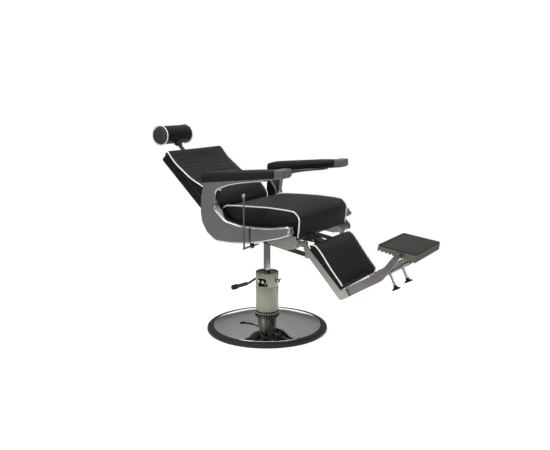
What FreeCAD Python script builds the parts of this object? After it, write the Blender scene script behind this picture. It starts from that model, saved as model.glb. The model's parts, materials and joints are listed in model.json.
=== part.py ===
import FreeCAD, Part
import math
import os
from FreeCAD import Vector

# Hydraulic barber chair, in millimetres. Z is up, the chair faces -Y, and the sitter's right is -X.
# The origin is the centre of the base's underside, on the column's axis.
# "Forward" distances (f) are measured towards -Y. The model stands raised, reclined, legrest up.

os.makedirs("parts", exist_ok=True)

# Base
base_radius = 325.0
rim_width = 33.0
rim_height = 23.0
plate_thickness = 18.0
dome_sheet = 2.5
dome_top = 82.0
dome_bulge = 5.0
ring_radius = 67.0
ring_height = 24.0

# Column and pump
sleeve_radius = 62.0
sleeve_wall = 4.0
sleeve_length = 134.0
collar_length = 77.0
cap_recess = 5.0
cylinder_radius = 30.0
cylinder_wall = 5.0
rod_radius = 18.0
ram_out = 183.0
ram_travel_down = 110.0
spigot_radius = 14.0
spigot_length = 38.0
pedal_reach = 222.0
pedal_radius = 10.5
pedal_rubber_wall = 4.0
fork_height = 28.0
fork_tilt = 16.0
plunger_radius = 6.0

# Seat
saddle_height = 60.0
seat_width = 526.0
seat_front = 338.0
seat_rear = -104.0
seat_height = 152.0
seat_lip = 20.0
board_thickness = 12.0
beam = 25.0
beam_wall = 2.5
beam_rear = 10.0
beam_front = 150.0

# Arms
arm_gap = 30.0
arm_thickness = 42.0
arm_edge = 9.0
arm_height = 260.0
arm_slope = 6.25
pad_width = 90.0
pad_length = 430.0
pad_rear_height = 49.0
pad_front_height = 39.0
cap_length = 46.0

# Backrest, measured up along the back (s) from its pivot and forward (n) from its rear face
back_angle = 45.8
back_length = 455.0
back_width = 492.0
back_corner = 24.0
back_rear = 68.6
back_top_thickness = 61.0
back_waist_thickness = 50.0
lumbar_thickness = 113.0
shell_depth = 34.0
shell_wall = 4.0
tube = 16.0
iron_thickness = 8.0

# Linkage: pivots in the side view, and the two cranks that the push bars join
back_pivot_f = -130.0
back_pivot_rise = 90.0
leg_pivot_f = 339.0
leg_pivot_drop = 16.0
back_crank = 84.4
leg_crank = 62.5
recline_range = 32.0
stay_crank = 105.0
stay_pivot_drop = 15.0
crank_tube_radius = 11.0
bar_thickness = 8.0
bar_height = 17.0
pivot_radius = 5.0
open_pivot_gap = 1.6
stay_slot = 3.3
stay_radius = 11.0
lever_f = 92.0
lever_drop = 41.0
lever_length = 240.0

# Headrest
roll_radius = 54.0
roll_length = 232.0
roll_rise = 159.0
roll_n = -2.0
post_width = 26.0
post_thickness = 8.0
post_rise = 93.4

# Legrest and foot plate, measured down along the legrest (s) from its hinge and outward (w)
leg_angle = 43.15
leg_width = 410.0
rail_thickness = 10.0
rail_width = 30.0
rail_length = 320.0
leg_pad_start = 20.5
leg_pad_end = 282.5
leg_board = 8.0
foot_arm_angle = 31.2
foot_arm_width = 42.0
foot_arm_first = 242.0
foot_reach = 275.0
foot_rise = 248.0
foot_tip_radius = 13.5
foot_width = 332.0
foot_rear = 109.0
foot_front = 78.7
foot_top = 22.7
foot_slope = 7.66
foot_pad_thickness = 5.0
foot_side_rear = 27.0
foot_side_front = 41.0
foot_teeth = 10
tooth_depth = 6.0
stub_spacing = 161.0
stub_length = 82.0
stub_radius = 6.5

# Clearances
running = 0.05
soft_gap = 0.3
side_gap = 0.4

# Heights that follow from the sizes above
sleeve_bottom = dome_top + ring_height
collar_bottom = sleeve_bottom + sleeve_length
collar_top = collar_bottom + collar_length
shoulder = collar_top + ram_out
deck = shoulder + saddle_height
half_seat = seat_width / 2
casting_inner = half_seat + arm_gap
casting_outer = casting_inner + arm_thickness
half_leg = leg_width / 2
rail_inner = half_leg - rail_thickness
bar_outer = rail_inner - 3.0
foot_arm_outer = rail_inner
foot_arm_inner = foot_arm_outer - 10.0


# ---- geometry helpers ----
def place(x, f, z):
    return Vector(x, -f, z)


def polar(angle, length):
    turn = math.radians(angle)
    return (length * math.cos(turn), length * math.sin(turn))


def moved(point, angle, length):
    step = polar(angle, length)
    return (point[0] + step[0], point[1] + step[1])


def meet(p, angle_p, q, angle_q):
    a = polar(angle_p, 1)
    b = polar(angle_q, 1)
    across = a[0] * b[1] - a[1] * b[0]
    along = ((q[0] - p[0]) * b[1] - (q[1] - p[1]) * b[0]) / across
    return (p[0] + along * a[0], p[1] + along * a[1])


def outline(corners, to_space):
    # A closed wire; each corner is (u, v) or (u, v, radius), and a radius is limited by its two sides.
    count = len(corners)
    runs = []
    for i in range(count):
        u, v = corners[i][0], corners[i][1]
        radius = corners[i][2] if len(corners[i]) > 2 else 0
        before = corners[i - 1]
        after = corners[(i + 1) % count]
        ax, ay = before[0] - u, before[1] - v
        bx, by = after[0] - u, after[1] - v
        a_len, b_len = math.hypot(ax, ay), math.hypot(bx, by)
        ax, ay, bx, by = ax / a_len, ay / a_len, bx / b_len, by / b_len
        half = math.acos(max(-1, min(1, ax * bx + ay * by))) / 2
        if radius <= 0 or half > math.pi / 2 - 1e-4:
            runs.append([(u, v)])
            continue
        back_off = min(radius / math.tan(half), 0.48 * a_len, 0.48 * b_len)
        radius = back_off * math.tan(half)
        mx, my = ax + bx, ay + by
        m_len = math.hypot(mx, my)
        reach = radius / math.sin(half) - radius
        start = (u + ax * back_off, v + ay * back_off)
        middle = (u + mx / m_len * reach, v + my / m_len * reach)
        end = (u + bx * back_off, v + by * back_off)
        runs.append([start, middle, end])
    edges = []
    for i in range(count):
        run = runs[i]
        if len(run) == 3:
            edges.append(Part.Arc(to_space(*run[0]), to_space(*run[1]), to_space(*run[2])).toShape())
        nxt = runs[(i + 1) % count][0]
        edges.append(Part.makeLine(to_space(*run[-1]), to_space(*nxt)))
    return Part.Wire(edges)


def solid_of(shape):
    solid = shape.Solids[0] if len(shape.Solids) == 1 else shape
    if solid.Volume < 0:
        solid = solid.reversed()
    return solid


def side_solid(corners, x0, x1):
    wire = outline(corners, lambda f, z: place(x0, f, z))
    return solid_of(Part.Face(wire).extrude(Vector(x1 - x0, 0, 0)))


def spun(corners):
    wire = outline(corners, lambda r, z: Vector(r, 0, z))
    return solid_of(Part.Face(wire).revolve(Vector(0, 0, 0), Vector(0, 0, 1), 360))


def box(x0, x1, f0, f1, z0, z1):
    return Part.makeBox(x1 - x0, f1 - f0, z1 - z0, Vector(x0, -f1, z0))


def bar_x(point, radius, x0, x1):
    return Part.makeCylinder(radius, x1 - x0, place(x0, point[0], point[1]), Vector(1, 0, 0))


def bar_z(x, f, radius, z0, z1):
    return Part.makeCylinder(radius, z1 - z0, place(x, f, z0), Vector(0, 0, 1))


def bar_between(start, end, radius, x=0.0):
    a = place(x, start[0], start[1])
    b = place(x, end[0], end[1])
    return Part.makeCylinder(radius, (b - a).Length, a, b - a)


def ball(point, radius, x=0.0):
    return Part.makeSphere(radius, place(x, point[0], point[1]))


def joined(*shapes):
    whole = shapes[0].fuse(list(shapes[1:]))
    return solid_of(whole.removeSplitter())


def flipped(shape):
    return shape.mirror(Vector(0, 0, 0), Vector(1, 0, 0))


def both(shape):
    return Part.makeCompound([shape, flipped(shape)])


def hexagon_x(point, across, x0, x1):
    corners = [moved(point, 60 * i, across / math.sqrt(3)) for i in range(6)]
    return side_solid(corners, x0, x1)


def hexagon_z(x, f, across, z0, z1):
    ring = [moved((x, f), 60 * i, across / math.sqrt(3)) for i in range(7)]
    wire = Part.makePolygon([place(p[0], p[1], z0) for p in ring])
    return solid_of(Part.Face(wire).extrude(Vector(0, 0, z1 - z0)))


def rounded_edges(solid, radius, chosen):
    edges = [e for e in solid.Edges if chosen(e)]
    return solid_of(solid.makeFillet(radius, edges))


def at_x(edge, x):
    return abs(edge.BoundBox.XMin - x) < 0.01 and abs(edge.BoundBox.XMax - x) < 0.01


# ---- linkage points in the side view, as (forward, height) ----
back_pivot = (back_pivot_f, deck + back_pivot_rise)
leg_pivot = (leg_pivot_f, deck - leg_pivot_drop)
leg_range = recline_range * back_crank / leg_crank
pivots_apart = math.dist(back_pivot, leg_pivot)
pivots_angle = math.degrees(math.atan2(leg_pivot[1] - back_pivot[1], leg_pivot[0] - back_pivot[0]))
crank_middle = pivots_angle - math.degrees(math.acos((back_crank - leg_crank) / pivots_apart))
bar_rear = moved(back_pivot, crank_middle + recline_range / 2, back_crank)
bar_front = moved(leg_pivot, crank_middle + leg_range / 2, leg_crank)
bar_angle = math.degrees(math.atan2(bar_front[1] - bar_rear[1], bar_front[0] - bar_rear[0]))
stay_pivot = (beam_front, deck - stay_pivot_drop)
stay_apart = math.dist(back_pivot, stay_pivot)
stay_slant = math.degrees(math.atan2(stay_pivot[1] - back_pivot[1], stay_pivot[0] - back_pivot[0]))
stay_middle = stay_slant - math.degrees(math.acos(stay_crank / stay_apart))
stay_end = moved(back_pivot, stay_middle + recline_range / 2, stay_crank)
stay_x = -(half_seat - 18.0)
lever_pivot = (lever_f, deck - lever_drop)
lever_x = -(casting_outer + 25.0)


def back_point(s, n):
    turn = math.radians(back_angle)
    ahead = n - back_rear
    f = back_pivot[0] - s * math.sin(turn) + ahead * math.cos(turn)
    z = back_pivot[1] + s * math.cos(turn) + ahead * math.sin(turn)
    return (f, z)


def back_corners(corners):
    return [back_point(c[0], c[1]) + tuple(c[2:]) for c in corners]


def leg_point(s, w):
    turn = math.radians(leg_angle)
    f = leg_pivot[0] + s * math.sin(turn) + w * math.cos(turn)
    z = leg_pivot[1] - s * math.cos(turn) + w * math.sin(turn)
    return (f, z)


def leg_corners(corners):
    return [leg_point(c[0], c[1]) + tuple(c[2:]) for c in corners]


nodes = {}


# ---- base ----
rim_inner = base_radius - rim_width
bolt_circle = cylinder_radius + 18.0
bolt_places = [polar(60 * i + 30, bolt_circle) for i in range(6)]


def make_base():
    plate = Part.makeCylinder(rim_inner, plate_thickness)
    for x, f in bolt_places:
        plate = plate.cut(bar_z(x, f, pivot_radius, plate_thickness - 12, plate_thickness))
    nodes["base_plate"] = solid_of(plate)

    edge = rim_inner - 0.5
    flat = ring_radius + 5
    middle = (edge + flat) / 2
    crown = (rim_height + 3 + dome_top) / 2 + dome_bulge
    bore = ring_radius - 17
    sheet = dome_sheet
    dome = spun([
        (bore, dome_top - sheet),
        (bore, dome_top),
        (flat, dome_top, 12),
        (middle, crown, 900),
        (edge, rim_height + 3, 5),
        (edge, plate_thickness),
        (edge - sheet, plate_thickness),
        (edge - sheet, rim_height + 2 - sheet, 3),
        (middle, crown - sheet, 900),
        (flat - 1, dome_top - sheet, 10),
    ])
    nodes["base_dome"] = dome

    rim = spun([
        (rim_inner, 0),
        (base_radius - 3, 0, 2),
        (base_radius, 4, 3),
        (base_radius - 1, rim_height - 6, 6),
        (base_radius - 9, rim_height, 6),
        (rim_inner + 2, rim_height + 1, 2),
        (rim_inner, rim_height - 1, 1),
    ])
    nodes["base_rim"] = rim

    bolts = []
    for x, f in bolt_places:
        head = hexagon_z(x, f, 16, plate_thickness + 12, plate_thickness + 19)
        bolts.append(joined(head, bar_z(x, f, pivot_radius - running, plate_thickness - 11, plate_thickness + 13)))
    nodes["flange_bolts"] = Part.makeCompound(bolts)

    nodes["pedestal_ring"] = spun([
        (sleeve_radius - sleeve_wall - 6, dome_top),
        (ring_radius, dome_top, 1.5),
        (ring_radius, sleeve_bottom - 6, 3),
        (sleeve_radius + 1, sleeve_bottom, 1.5),
        (sleeve_radius - sleeve_wall - 6, sleeve_bottom),
    ])


# ---- pump ----
cylinder_top = collar_top - cap_recess - 12
bore_radius = cylinder_radius - cylinder_wall
fork_pivot = (5.0, collar_bottom + fork_height)
trunnion_inner = cylinder_radius - 3
fork_inner = cylinder_radius + 4
fork_outer = fork_inner + 14
plunger_f = -(cylinder_radius + 11.0)
block_top = collar_bottom - 2
plunger_centre = fork_pivot[1] + (fork_pivot[0] - plunger_f) * math.tan(math.radians(fork_tilt))
plunger_centre = plunger_centre - (5 + plunger_radius + 0.5) / math.cos(math.radians(fork_tilt))
neck_start = (-49.0, fork_pivot[1] + 16)
neck_bend = (-117.0, fork_pivot[1] - 33)
pedal_drop = 21.0
lock_pivot = (sleeve_radius + 9.0, collar_bottom + 33)


def make_pump():
    tube_part = Part.makeCylinder(cylinder_radius, cylinder_top - plate_thickness, Vector(0, 0, plate_thickness))
    flange = Part.makeCylinder(bolt_circle + 12, 12, Vector(0, 0, plate_thickness))
    bore = Part.makeCylinder(bore_radius, cylinder_top, Vector(0, 0, plate_thickness + 12))
    cylinder = joined(tube_part, flange).cut(bore)
    for x, f in bolt_places:
        cylinder = cylinder.cut(bar_z(x, f, pivot_radius, plate_thickness, plate_thickness + 12))
    for side in (-1, 1):
        x_in, x_out = sorted((side * trunnion_inner, side * (cylinder_radius + 1)))
        cylinder = cylinder.cut(bar_x(fork_pivot, pivot_radius, x_in, x_out))
    nodes["pump_cylinder"] = solid_of(cylinder)

    gland_bottom = cylinder_top - 18
    nodes["cylinder_gland"] = spun([
        (rod_radius + running, gland_bottom),
        (bore_radius - running, gland_bottom),
        (bore_radius - running, cylinder_top),
        (cylinder_radius, cylinder_top),
        (cylinder_radius, cylinder_top + 7, 1.5),
        (rod_radius + running, cylinder_top + 7),
    ])

    inner = sleeve_radius - sleeve_wall
    nodes["pump_sleeve"] = spun([
        (inner, sleeve_bottom),
        (sleeve_radius, sleeve_bottom),
        (sleeve_radius, collar_bottom - 0.4, 1),
        (inner, collar_bottom - 0.4),
    ])
    collar = spun([
        (inner, collar_bottom),
        (sleeve_radius, collar_bottom, 1),
        (sleeve_radius, collar_top, 1.5),
        (inner, collar_top, 1),
    ])
    window = box(-sleeve_radius - 5, -inner + 10, -20, 35, fork_pivot[1] - 23, fork_pivot[1] + 22)
    slot = box(-14, 14, -sleeve_radius - 5, -inner + 8, collar_bottom + 3, fork_pivot[1] + 24)
    lug = box(-9, 9, inner + 1, sleeve_radius + 16, lock_pivot[1] - 9, lock_pivot[1] + 9)
    lug = rounded_edges(lug, 4, lambda e: e.Length < 18.5 and abs(e.BoundBox.YMax + sleeve_radius + 16) < 0.01)
    lug = lug.cut(box(-4.2, 4.2, sleeve_radius + 2, sleeve_radius + 20, lock_pivot[1] - 12, lock_pivot[1] + 12))
    lug = lug.cut(bar_x(lock_pivot, 3 + running, -12, 12))
    nodes["pump_collar"] = joined(collar.cut(window).cut(slot), lug)
    nodes["collar_cap"] = spun([
        (rod_radius + 1.5, collar_top - cap_recess - 4),
        (inner - 0.2, collar_top - cap_recess - 4),
        (inner - 0.2, collar_top - cap_recess, 0.8),
        (rod_radius + 1.5, collar_top - cap_recess, 0.8),
    ])

    block = box(-13, 13, -(inner - 3.5), -(cylinder_radius - 10), block_top - 60, block_top)
    block = block.cut(Part.makeCylinder(cylinder_radius, collar_top))
    block = block.cut(bar_z(0, plunger_f, plunger_radius + running, block_top - 55, block_top + 1))
    nodes["pump_block"] = solid_of(block)

    pins = []
    pin = bar_x(fork_pivot, pivot_radius - running, trunnion_inner, fork_outer + 2)
    head = hexagon_x(fork_pivot, 14, fork_outer + 1, fork_outer + 6)
    pins.append(joined(pin, head))
    nodes["yoke_pins"] = both(pins[0])

    spring_collar = plunger_centre - 12
    plunger = joined(
        bar_z(0, plunger_f, plunger_radius, block_top - 38, plunger_centre),
        Part.makeSphere(plunger_radius, place(0, plunger_f, plunger_centre)),
        bar_z(0, plunger_f, plunger_radius + 3.5, spring_collar, spring_collar + 3),
    )
    nodes["pump_plunger"] = plunger
    nodes["plunger_spring"] = make_spring(block_top + 0.4, spring_collar - 0.4)

    lever = bar_between(lock_pivot, moved(lock_pivot, 50, 14), 3.6)
    tip = moved(lock_pivot, 50, 14)
    lever = joined(lever, ball(tip, 3.6), bar_between(tip, moved(tip, 12, 9), 3.6))
    lever = joined(lever, ball(lock_pivot, 3.6), bar_x(lock_pivot, 3, -9, 9))
    nodes["lock_lever"] = lever


def make_spring(low, high):
    turns = 5
    mean = plunger_radius + 1.9
    wire_radius = 1.0
    pitch = (high - low - 2 * wire_radius) / turns
    helix = Part.makeHelix(pitch, pitch * turns, mean)
    section = Part.Wire([Part.makeCircle(wire_radius, Vector(mean, 0, 0), Vector(0, 1, 0))])
    spring = Part.Wire(helix.Edges).makePipeShell([section], True, True)
    spring.translate(place(0, plunger_f, low + wire_radius))
    return solid_of(spring)


def make_pedal():
    ring = Part.makeCylinder(fork_outer, 10, Vector(0, 0, fork_pivot[1] - 5))
    ring = ring.cut(Part.makeCylinder(fork_inner, 12, Vector(0, 0, fork_pivot[1] - 6)))
    ring = ring.cut(box(-80, 80, fork_pivot[0], 80, fork_pivot[1] - 10, fork_pivot[1] + 10))
    ends = bar_x(fork_pivot, 10, fork_inner + 0.5, fork_outer)
    yoke = joined(ring, ends, flipped(ends))
    yoke.rotate(place(0, *fork_pivot), Vector(1, 0, 0), fork_tilt)
    cylinder_room = Part.makeCylinder(cylinder_radius + 1.2, 60, Vector(0, 0, fork_pivot[1] - 30))
    yoke = yoke.cut(cylinder_room)
    for side in (-1, 1):
        x_in, x_out = sorted((side * (fork_inner - 4), side * (fork_outer + 4)))
        yoke = yoke.cut(bar_x(fork_pivot, pivot_radius, x_in, x_out))
    fall = (pedal_reach - 117) * math.tan(math.radians(pedal_drop))
    tip = (-pedal_reach, neck_bend[1] - fall)
    back = math.degrees(math.atan2(neck_bend[1] - tip[1], neck_bend[0] - tip[0]))
    grip_start = moved(tip, back, 30)
    neck = joined(
        bar_between(neck_start, neck_bend, 6.5),
        ball(neck_bend, 6.5),
        bar_between(neck_bend, moved(neck_bend, 180 + back, 12), 6.5),
        Part.makeCone(6.5, pedal_radius, 10, place(0, *moved(neck_bend, 180 + back, 6)), direction(180 + back)),
        bar_between(moved(neck_bend, 180 + back, 16), moved(tip, back, 4), pedal_radius),
    )
    nodes["pump_yoke"] = joined(solid_of(yoke), neck)
    cover = bar_between(grip_start, moved(tip, 180 + back, 5), pedal_radius + pedal_rubber_wall)
    cover = rounded_edges(cover, 3.5, lambda e: True)
    cover = cover.cut(bar_between(moved(grip_start, back, 5), moved(tip, back, 4), pedal_radius))
    nodes["pedal_rubber"] = solid_of(cover)


def direction(angle):
    step = polar(angle, 1)
    return Vector(0, -step[0], step[1])


# ---- ram ----
def make_ram():
    head_bottom = plate_thickness + 12 + ram_travel_down + 9
    rod = Part.makeCylinder(rod_radius, shoulder - head_bottom - 4, Vector(0, 0, head_bottom + 4))
    stud = Part.makeCylinder(10, 12, Vector(0, 0, head_bottom - 7))
    spigot = Part.makeCylinder(spigot_radius, spigot_length, Vector(0, 0, shoulder))
    nodes["piston_rod"] = joined(rod, stud, spigot)
    nodes["piston_head"] = spun([
        (10, head_bottom - 7),
        (bore_radius - 3, head_bottom - 7),
        (bore_radius - running, head_bottom - 4, 1),
        (bore_radius - running, head_bottom + 3, 1),
        (bore_radius - 3, head_bottom + 4),
        (10, head_bottom + 4),
    ])


# ---- seat frame ----
saddle_half = 85.0
saddle_bolt_x = 70.0


def make_saddle():
    foot = shoulder + 0.2
    boss = spun([
        (spigot_radius + running, foot),
        (32, foot, 2),
        (36, foot + 14, 6),
        (40, deck - 24, 10),
        (58, deck - 9, 2),
        (58, deck - 6),
        (0, deck - 6),
        (0, shoulder + spigot_length + 1),
        (spigot_radius + running, shoulder + spigot_length + 1),
    ])
    plate = box(-saddle_half, saddle_half, beam_rear - beam - 15, beam_front + 5, deck - 10, deck)
    plate = plate.cut(Part.makeCylinder(45, 4, Vector(0, 0, deck - 10.5)).common(boss))
    saddle = joined(boss, plate)
    bolts = []
    for x in (-saddle_bolt_x, saddle_bolt_x):
        for f in (beam_rear, beam_front):
            saddle = saddle.cut(bar_z(x, f, pivot_radius + 0.5, deck - 12, deck + 1))
            head = hexagon_z(x, f, 16, deck - 17, deck - 10)
            bolts.append(joined(head, bar_z(x, f, pivot_radius, deck - 11, deck + beam - 6)))
    nodes["saddle"] = solid_of(saddle)
    nodes["saddle_bolts"] = Part.makeCompound(bolts)


leaf_half = 28.0
leaf_x = -82.5


def make_seat_frame():
    parts = []
    for f in (beam_rear, beam_front):
        outer = box(-casting_inner + 6, casting_inner - 6, f - beam / 2, f + beam / 2, deck, deck + beam)
        reach = beam / 2 - beam_wall
        hollow = box(-casting_inner, casting_inner, f - reach, f + reach, deck + beam_wall, deck + beam - beam_wall)
        outer = outer.cut(hollow)
        end = box(casting_inner - 6, casting_inner, f - 28, f + 28, deck - 4, deck + 44)
        end = rounded_edges(end, 6, lambda e: abs(e.Length - 6) < 0.01)
        for step in (-20, 20):
            end = end.cut(bar_x((f + step, deck + beam / 2), 4 + running, casting_inner - 8, casting_inner + 2))
        parts += [outer, end, flipped(end)]
    ear_low = [(beam_front + 6, deck - 0.1), (beam_front + 10, deck - 14, 6)]
    ear = leg_ear(10) + [(leg_pivot[0] - 6, leg_pivot[1] + 13, 6), (beam_front + 60, deck + 12), (beam_front + 12.4, deck + 12)]
    for x in (leaf_x - leaf_half - 6, leaf_x + leaf_half + 1):
        plate = side_solid(ear_low + ear, x, x + 5)
        plate = plate.cut(bar_x(leg_pivot, pivot_radius, x - 1, x + 6))
        parts.append(plate)
    for x in (stay_x - 13, stay_x + 9):
        lug = side_solid([
            (stay_pivot[0] - 13, deck + 0.1),
            (stay_pivot[0] - 13, stay_pivot[1] - 12, 11),
            (stay_pivot[0] + 12, stay_pivot[1] - 12, 11),
            (stay_pivot[0] + 12, deck + 0.1),
        ], x, x + 4)
        parts.append(lug.cut(bar_x(stay_pivot, pivot_radius - 1, x - 1, x + 5)))
    for x in (-saddle_half - 15, saddle_half + 15):
        parts.append(box(x - 10, x + 10, beam_rear + 12, beam_front - 12, deck + 1, deck + beam - 1))
    frame = joined(*parts)
    for x in (-saddle_bolt_x, saddle_bolt_x):
        for f in (beam_rear, beam_front):
            frame = frame.cut(bar_z(x, f, pivot_radius, deck - 1, deck + beam_wall + 1))
    nodes["seat_frame"] = solid_of(frame)


def leg_ear(radius):
    # The three corners of a plate's rounded end about the legrest's hinge.
    f, z = leg_pivot
    return [(f - radius, z - radius, radius * 0.9), (f + radius, z - radius, radius * 0.9), (f + radius, z + radius, radius * 0.9)]


def make_hinge_plates():
    f, z = leg_pivot
    inner = side_solid([
        (beam_front - 40, deck - 0.3),
        (beam_front - 40, deck - 11, 6),
        (beam_front + 6, z - 7),
        (f - 54, z - 23, 20),
        (f - 13, z - 16, 10),
        (f + 13, z - 13, 11),
        (f + 13, z + 13, 11),
        (f - 16, z + 13, 8),
        (f - 50, deck + beam - 2, 8),
        (beam_front + beam / 2 + 1, deck + beam - 2),
        (beam_front + beam / 2 + 1, deck - 0.3),
    ], half_leg + 8, half_leg + 14)
    inner = inner.cut(bar_x(leg_pivot, pivot_radius + 1, half_leg, half_leg + 30))
    gusset = side_solid([
        (beam_front + 33, deck + 22),
        (beam_front + 33, deck - 18, 6),
        (f - 54, z - 24, 20),
        (f - 8, z - 14, 10),
        (f + 12, z - 6, 8),
        (f + 9, z + 18, 5),
        (f - 38, deck + 52, 6),
        (f - 60, deck + 52, 10),
    ], casting_inner - 8, casting_inner - 0.1)
    gusset = gusset.cut(bar_x(leg_pivot, pivot_radius + 1, casting_inner - 20, casting_inner + 20))
    nodes["hinge_plates"] = Part.makeCompound([inner, flipped(inner), gusset, flipped(gusset)])

    pin = joined(
        bar_x(leg_pivot, pivot_radius + 1 - running, rail_inner - 1, casting_inner + 1),
        bar_x(leg_pivot, 10, rail_inner - 6, rail_inner - 1.5 + 1),
        bar_x(leg_pivot, 10, half_leg + 1, half_leg + 7.5),
        hexagon_x(leg_pivot, 17, casting_inner, casting_inner + 6),
    )
    short = bar_x(leg_pivot, pivot_radius - running, leaf_x - leaf_half - 9, leaf_x + leaf_half + 9)
    nodes["legrest_pins"] = Part.makeCompound([pin, flipped(pin), short])


def make_seat():
    board_low = deck + beam
    board = box(-half_seat + 12, half_seat - 12, seat_rear + 12, seat_front - seat_lip, board_low, board_low + board_thickness)
    nodes["seat_board"] = rounded_edges(board, 20, lambda e: abs(e.Length - board_thickness) < 0.01)
    top = deck + seat_height
    cushion = side_solid([
        (seat_rear, board_low + 0.5),
        (seat_rear - 2, top - 26, 26),
        (seat_rear + 24, top - 7, 30),
        (seat_front / 2, top + 1, 300),
        (seat_front - 26, top - 7, 30),
        (seat_front + 4, top - 38, 30),
        (seat_front, top - 90),
        (seat_front - 8, deck + 5, 4),
        (seat_front - seat_lip + 0.5, deck + 5),
        (seat_front - seat_lip + 0.5, board_low + 0.5),
    ], -half_seat, half_seat)
    room = box(-half_seat + 11, half_seat - 11, seat_rear + 11, seat_front, board_low - 1, board_low + board_thickness + soft_gap)
    keep = box(-half_seat, half_seat, seat_front - seat_lip + soft_gap, seat_front + 20, 0, deck + 400)
    nodes["seat_cushion"] = solid_of(cushion.cut(room.cut(keep)))


def arm_line(f):
    # Height of the armrest's underside, which rises towards the front.
    return deck + arm_height + (f + 174) * math.tan(math.radians(arm_slope))


def make_arms():
    board = 5.0
    tip = pad_length - 240
    casting = side_solid([
        (-168, arm_line(-168) - board),
        (-182, deck + 190, 30),
        (-187, deck + 110, 60),
        (-180, deck + 62, 60),
        (-148, deck + 8, 70),
        (-96, deck - 30, 60),
        (0, deck - 31, 200),
        (84, deck - 24, 200),
        (190, deck - 3, 200),
        (275, deck + 20, 200),
        (334, deck + 42, 17),
        (322, deck + 86, 17),
        (229, deck + 69, 200),
        (143, deck + 64, 200),
        (50, deck + 65, 200),
        (-36, deck + 82, 60),
        (-104, deck + 142, 45),
        (-91, deck + 226, 40),
        (-12, deck + 255, 120),
        (60, arm_line(60) - 17, 200),
        (tip, arm_line(tip) - 14),
        (tip, arm_line(tip) - board),
    ], casting_inner, casting_outer)
    casting = rounded_edges(casting, arm_edge, lambda e: at_x(e, casting_outer) and not on_arm_top(e))
    casting = rounded_edges(casting, 3, lambda e: at_x(e, casting_inner) and not on_arm_top(e))
    holes = []
    bolts = []
    for f in (beam_rear, beam_front):
        for step in (-20, 20):
            spot = (f + step, deck + beam / 2)
            holes.append(bar_x(spot, 4 + running, casting_inner - 1, casting_inner + 18))
            head = hexagon_x(spot, 13, casting_inner - 11, casting_inner - 6)
            bolts.append(joined(head, bar_x(spot, 4, casting_inner - 7, casting_inner + 17)))
    holes.append(bar_x(back_pivot, 7, casting_inner - 1, casting_inner + 22))
    holes.append(bar_x(leg_pivot, 12, casting_inner - 1, casting_inner + 8))
    casting = solid_of(casting.cut(holes))
    nodes["arm_casting_left"] = casting
    nodes["arm_casting_right"] = flipped(casting)
    nodes["arm_bolts"] = Part.makeCompound(bolts + [flipped(b) for b in bolts])

    middle = casting_inner + 17.5
    rear, front = -174.0, -174.0 + pad_length
    board_x0, board_x1 = middle - pad_width / 2 + 6, middle + pad_width / 2 - 6
    plate = side_solid([
        (rear + 8, arm_line(rear + 8) - board, 2),
        (front + cap_length - 6, arm_line(front + cap_length - 6) - board, 2),
        (front + cap_length - 6, arm_line(front + cap_length - 6), 2),
        (rear + 8, arm_line(rear + 8), 2),
    ], board_x0, board_x1)
    nodes["arm_plates"] = both(plate)
    pad = side_solid([
        (rear, arm_line(rear) + soft_gap, 6),
        (front - 0.5, arm_line(front) + soft_gap, 2),
        (front - 0.5, arm_line(front) + pad_front_height, 4),
        (rear + 4, arm_line(rear) + pad_rear_height, 16),
    ], middle - pad_width / 2, middle + pad_width / 2)
    pad = rounded_edges(pad, 12, lambda e: e.BoundBox.YLength > pad_length - 60 and e.BoundBox.ZMin > arm_line(rear) + 20)
    nodes["arm_pad_left"] = pad
    nodes["arm_pad_right"] = flipped(pad)
    cap = side_solid([
        (front, arm_line(front) + soft_gap, 2),
        (front + cap_length, arm_line(front + cap_length) + soft_gap, 4),
        (front + cap_length - 2, arm_line(front + cap_length) + pad_front_height - 3, 5),
        (front, arm_line(front) + pad_front_height + 1, 2),
    ], middle - pad_width / 2 - 1, middle + pad_width / 2 + 1)
    cap = rounded_edges(cap, 5, lambda e: e.BoundBox.XLength < 0.1 and e.BoundBox.YLength > 20)
    nodes["arm_caps"] = both(cap)


def on_arm_top(edge):
    # The casting's flat top, and the blunt end of the arm.
    extent = edge.BoundBox
    high = extent.ZMin > deck + arm_height - 30
    return high and (extent.YLength > 250 or extent.YLength < 0.1)


def make_pins_and_brackets():
    pin = joined(
        bar_x(back_pivot, 7 - running, casting_inner - 19 - iron_thickness, casting_inner + 20),
        bar_x(back_pivot, 13, casting_inner - 22 - iron_thickness, casting_inner - 17.4 - iron_thickness),
        bar_x(back_pivot, 12, casting_inner - 16.6, casting_inner - 0.2),
    )
    nodes["back_pins"] = both(pin)

    f, z = lever_pivot
    plate = side_solid([
        (f - 11, deck + 24, 4),
        (f - 11, z - 11, 10.5),
        (f + 11, z - 11, 10.5),
        (f + 11, deck + 24, 4),
    ], -casting_inner + 0.2, -casting_inner + 6)
    boss = bar_x(lever_pivot, 9, -casting_inner - 3, -casting_inner + 14)
    bracket = joined(plate, boss).cut(bar_x(lever_pivot, pivot_radius, -casting_inner - 10, -casting_inner + 20))
    nodes["lever_bracket"] = solid_of(bracket)


# ---- backrest ----
frame_n = 14.0
post_n = -12.0
socket_low = back_length - 140.0


def rounded_top(half, top, radius):
    # All that lies inside the back's outline seen from the front, with its two top corners rounded.
    block = side_solid(back_corners([(-60, -30), (top, -30), (top, 170), (-60, 170)]), -half, half)
    crown = back_point(top, 170)[1] - 0.5
    return rounded_edges(block, radius, lambda e: e.BoundBox.XLength < 0.01 and e.BoundBox.ZMax > crown and e.Length > 190)


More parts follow.
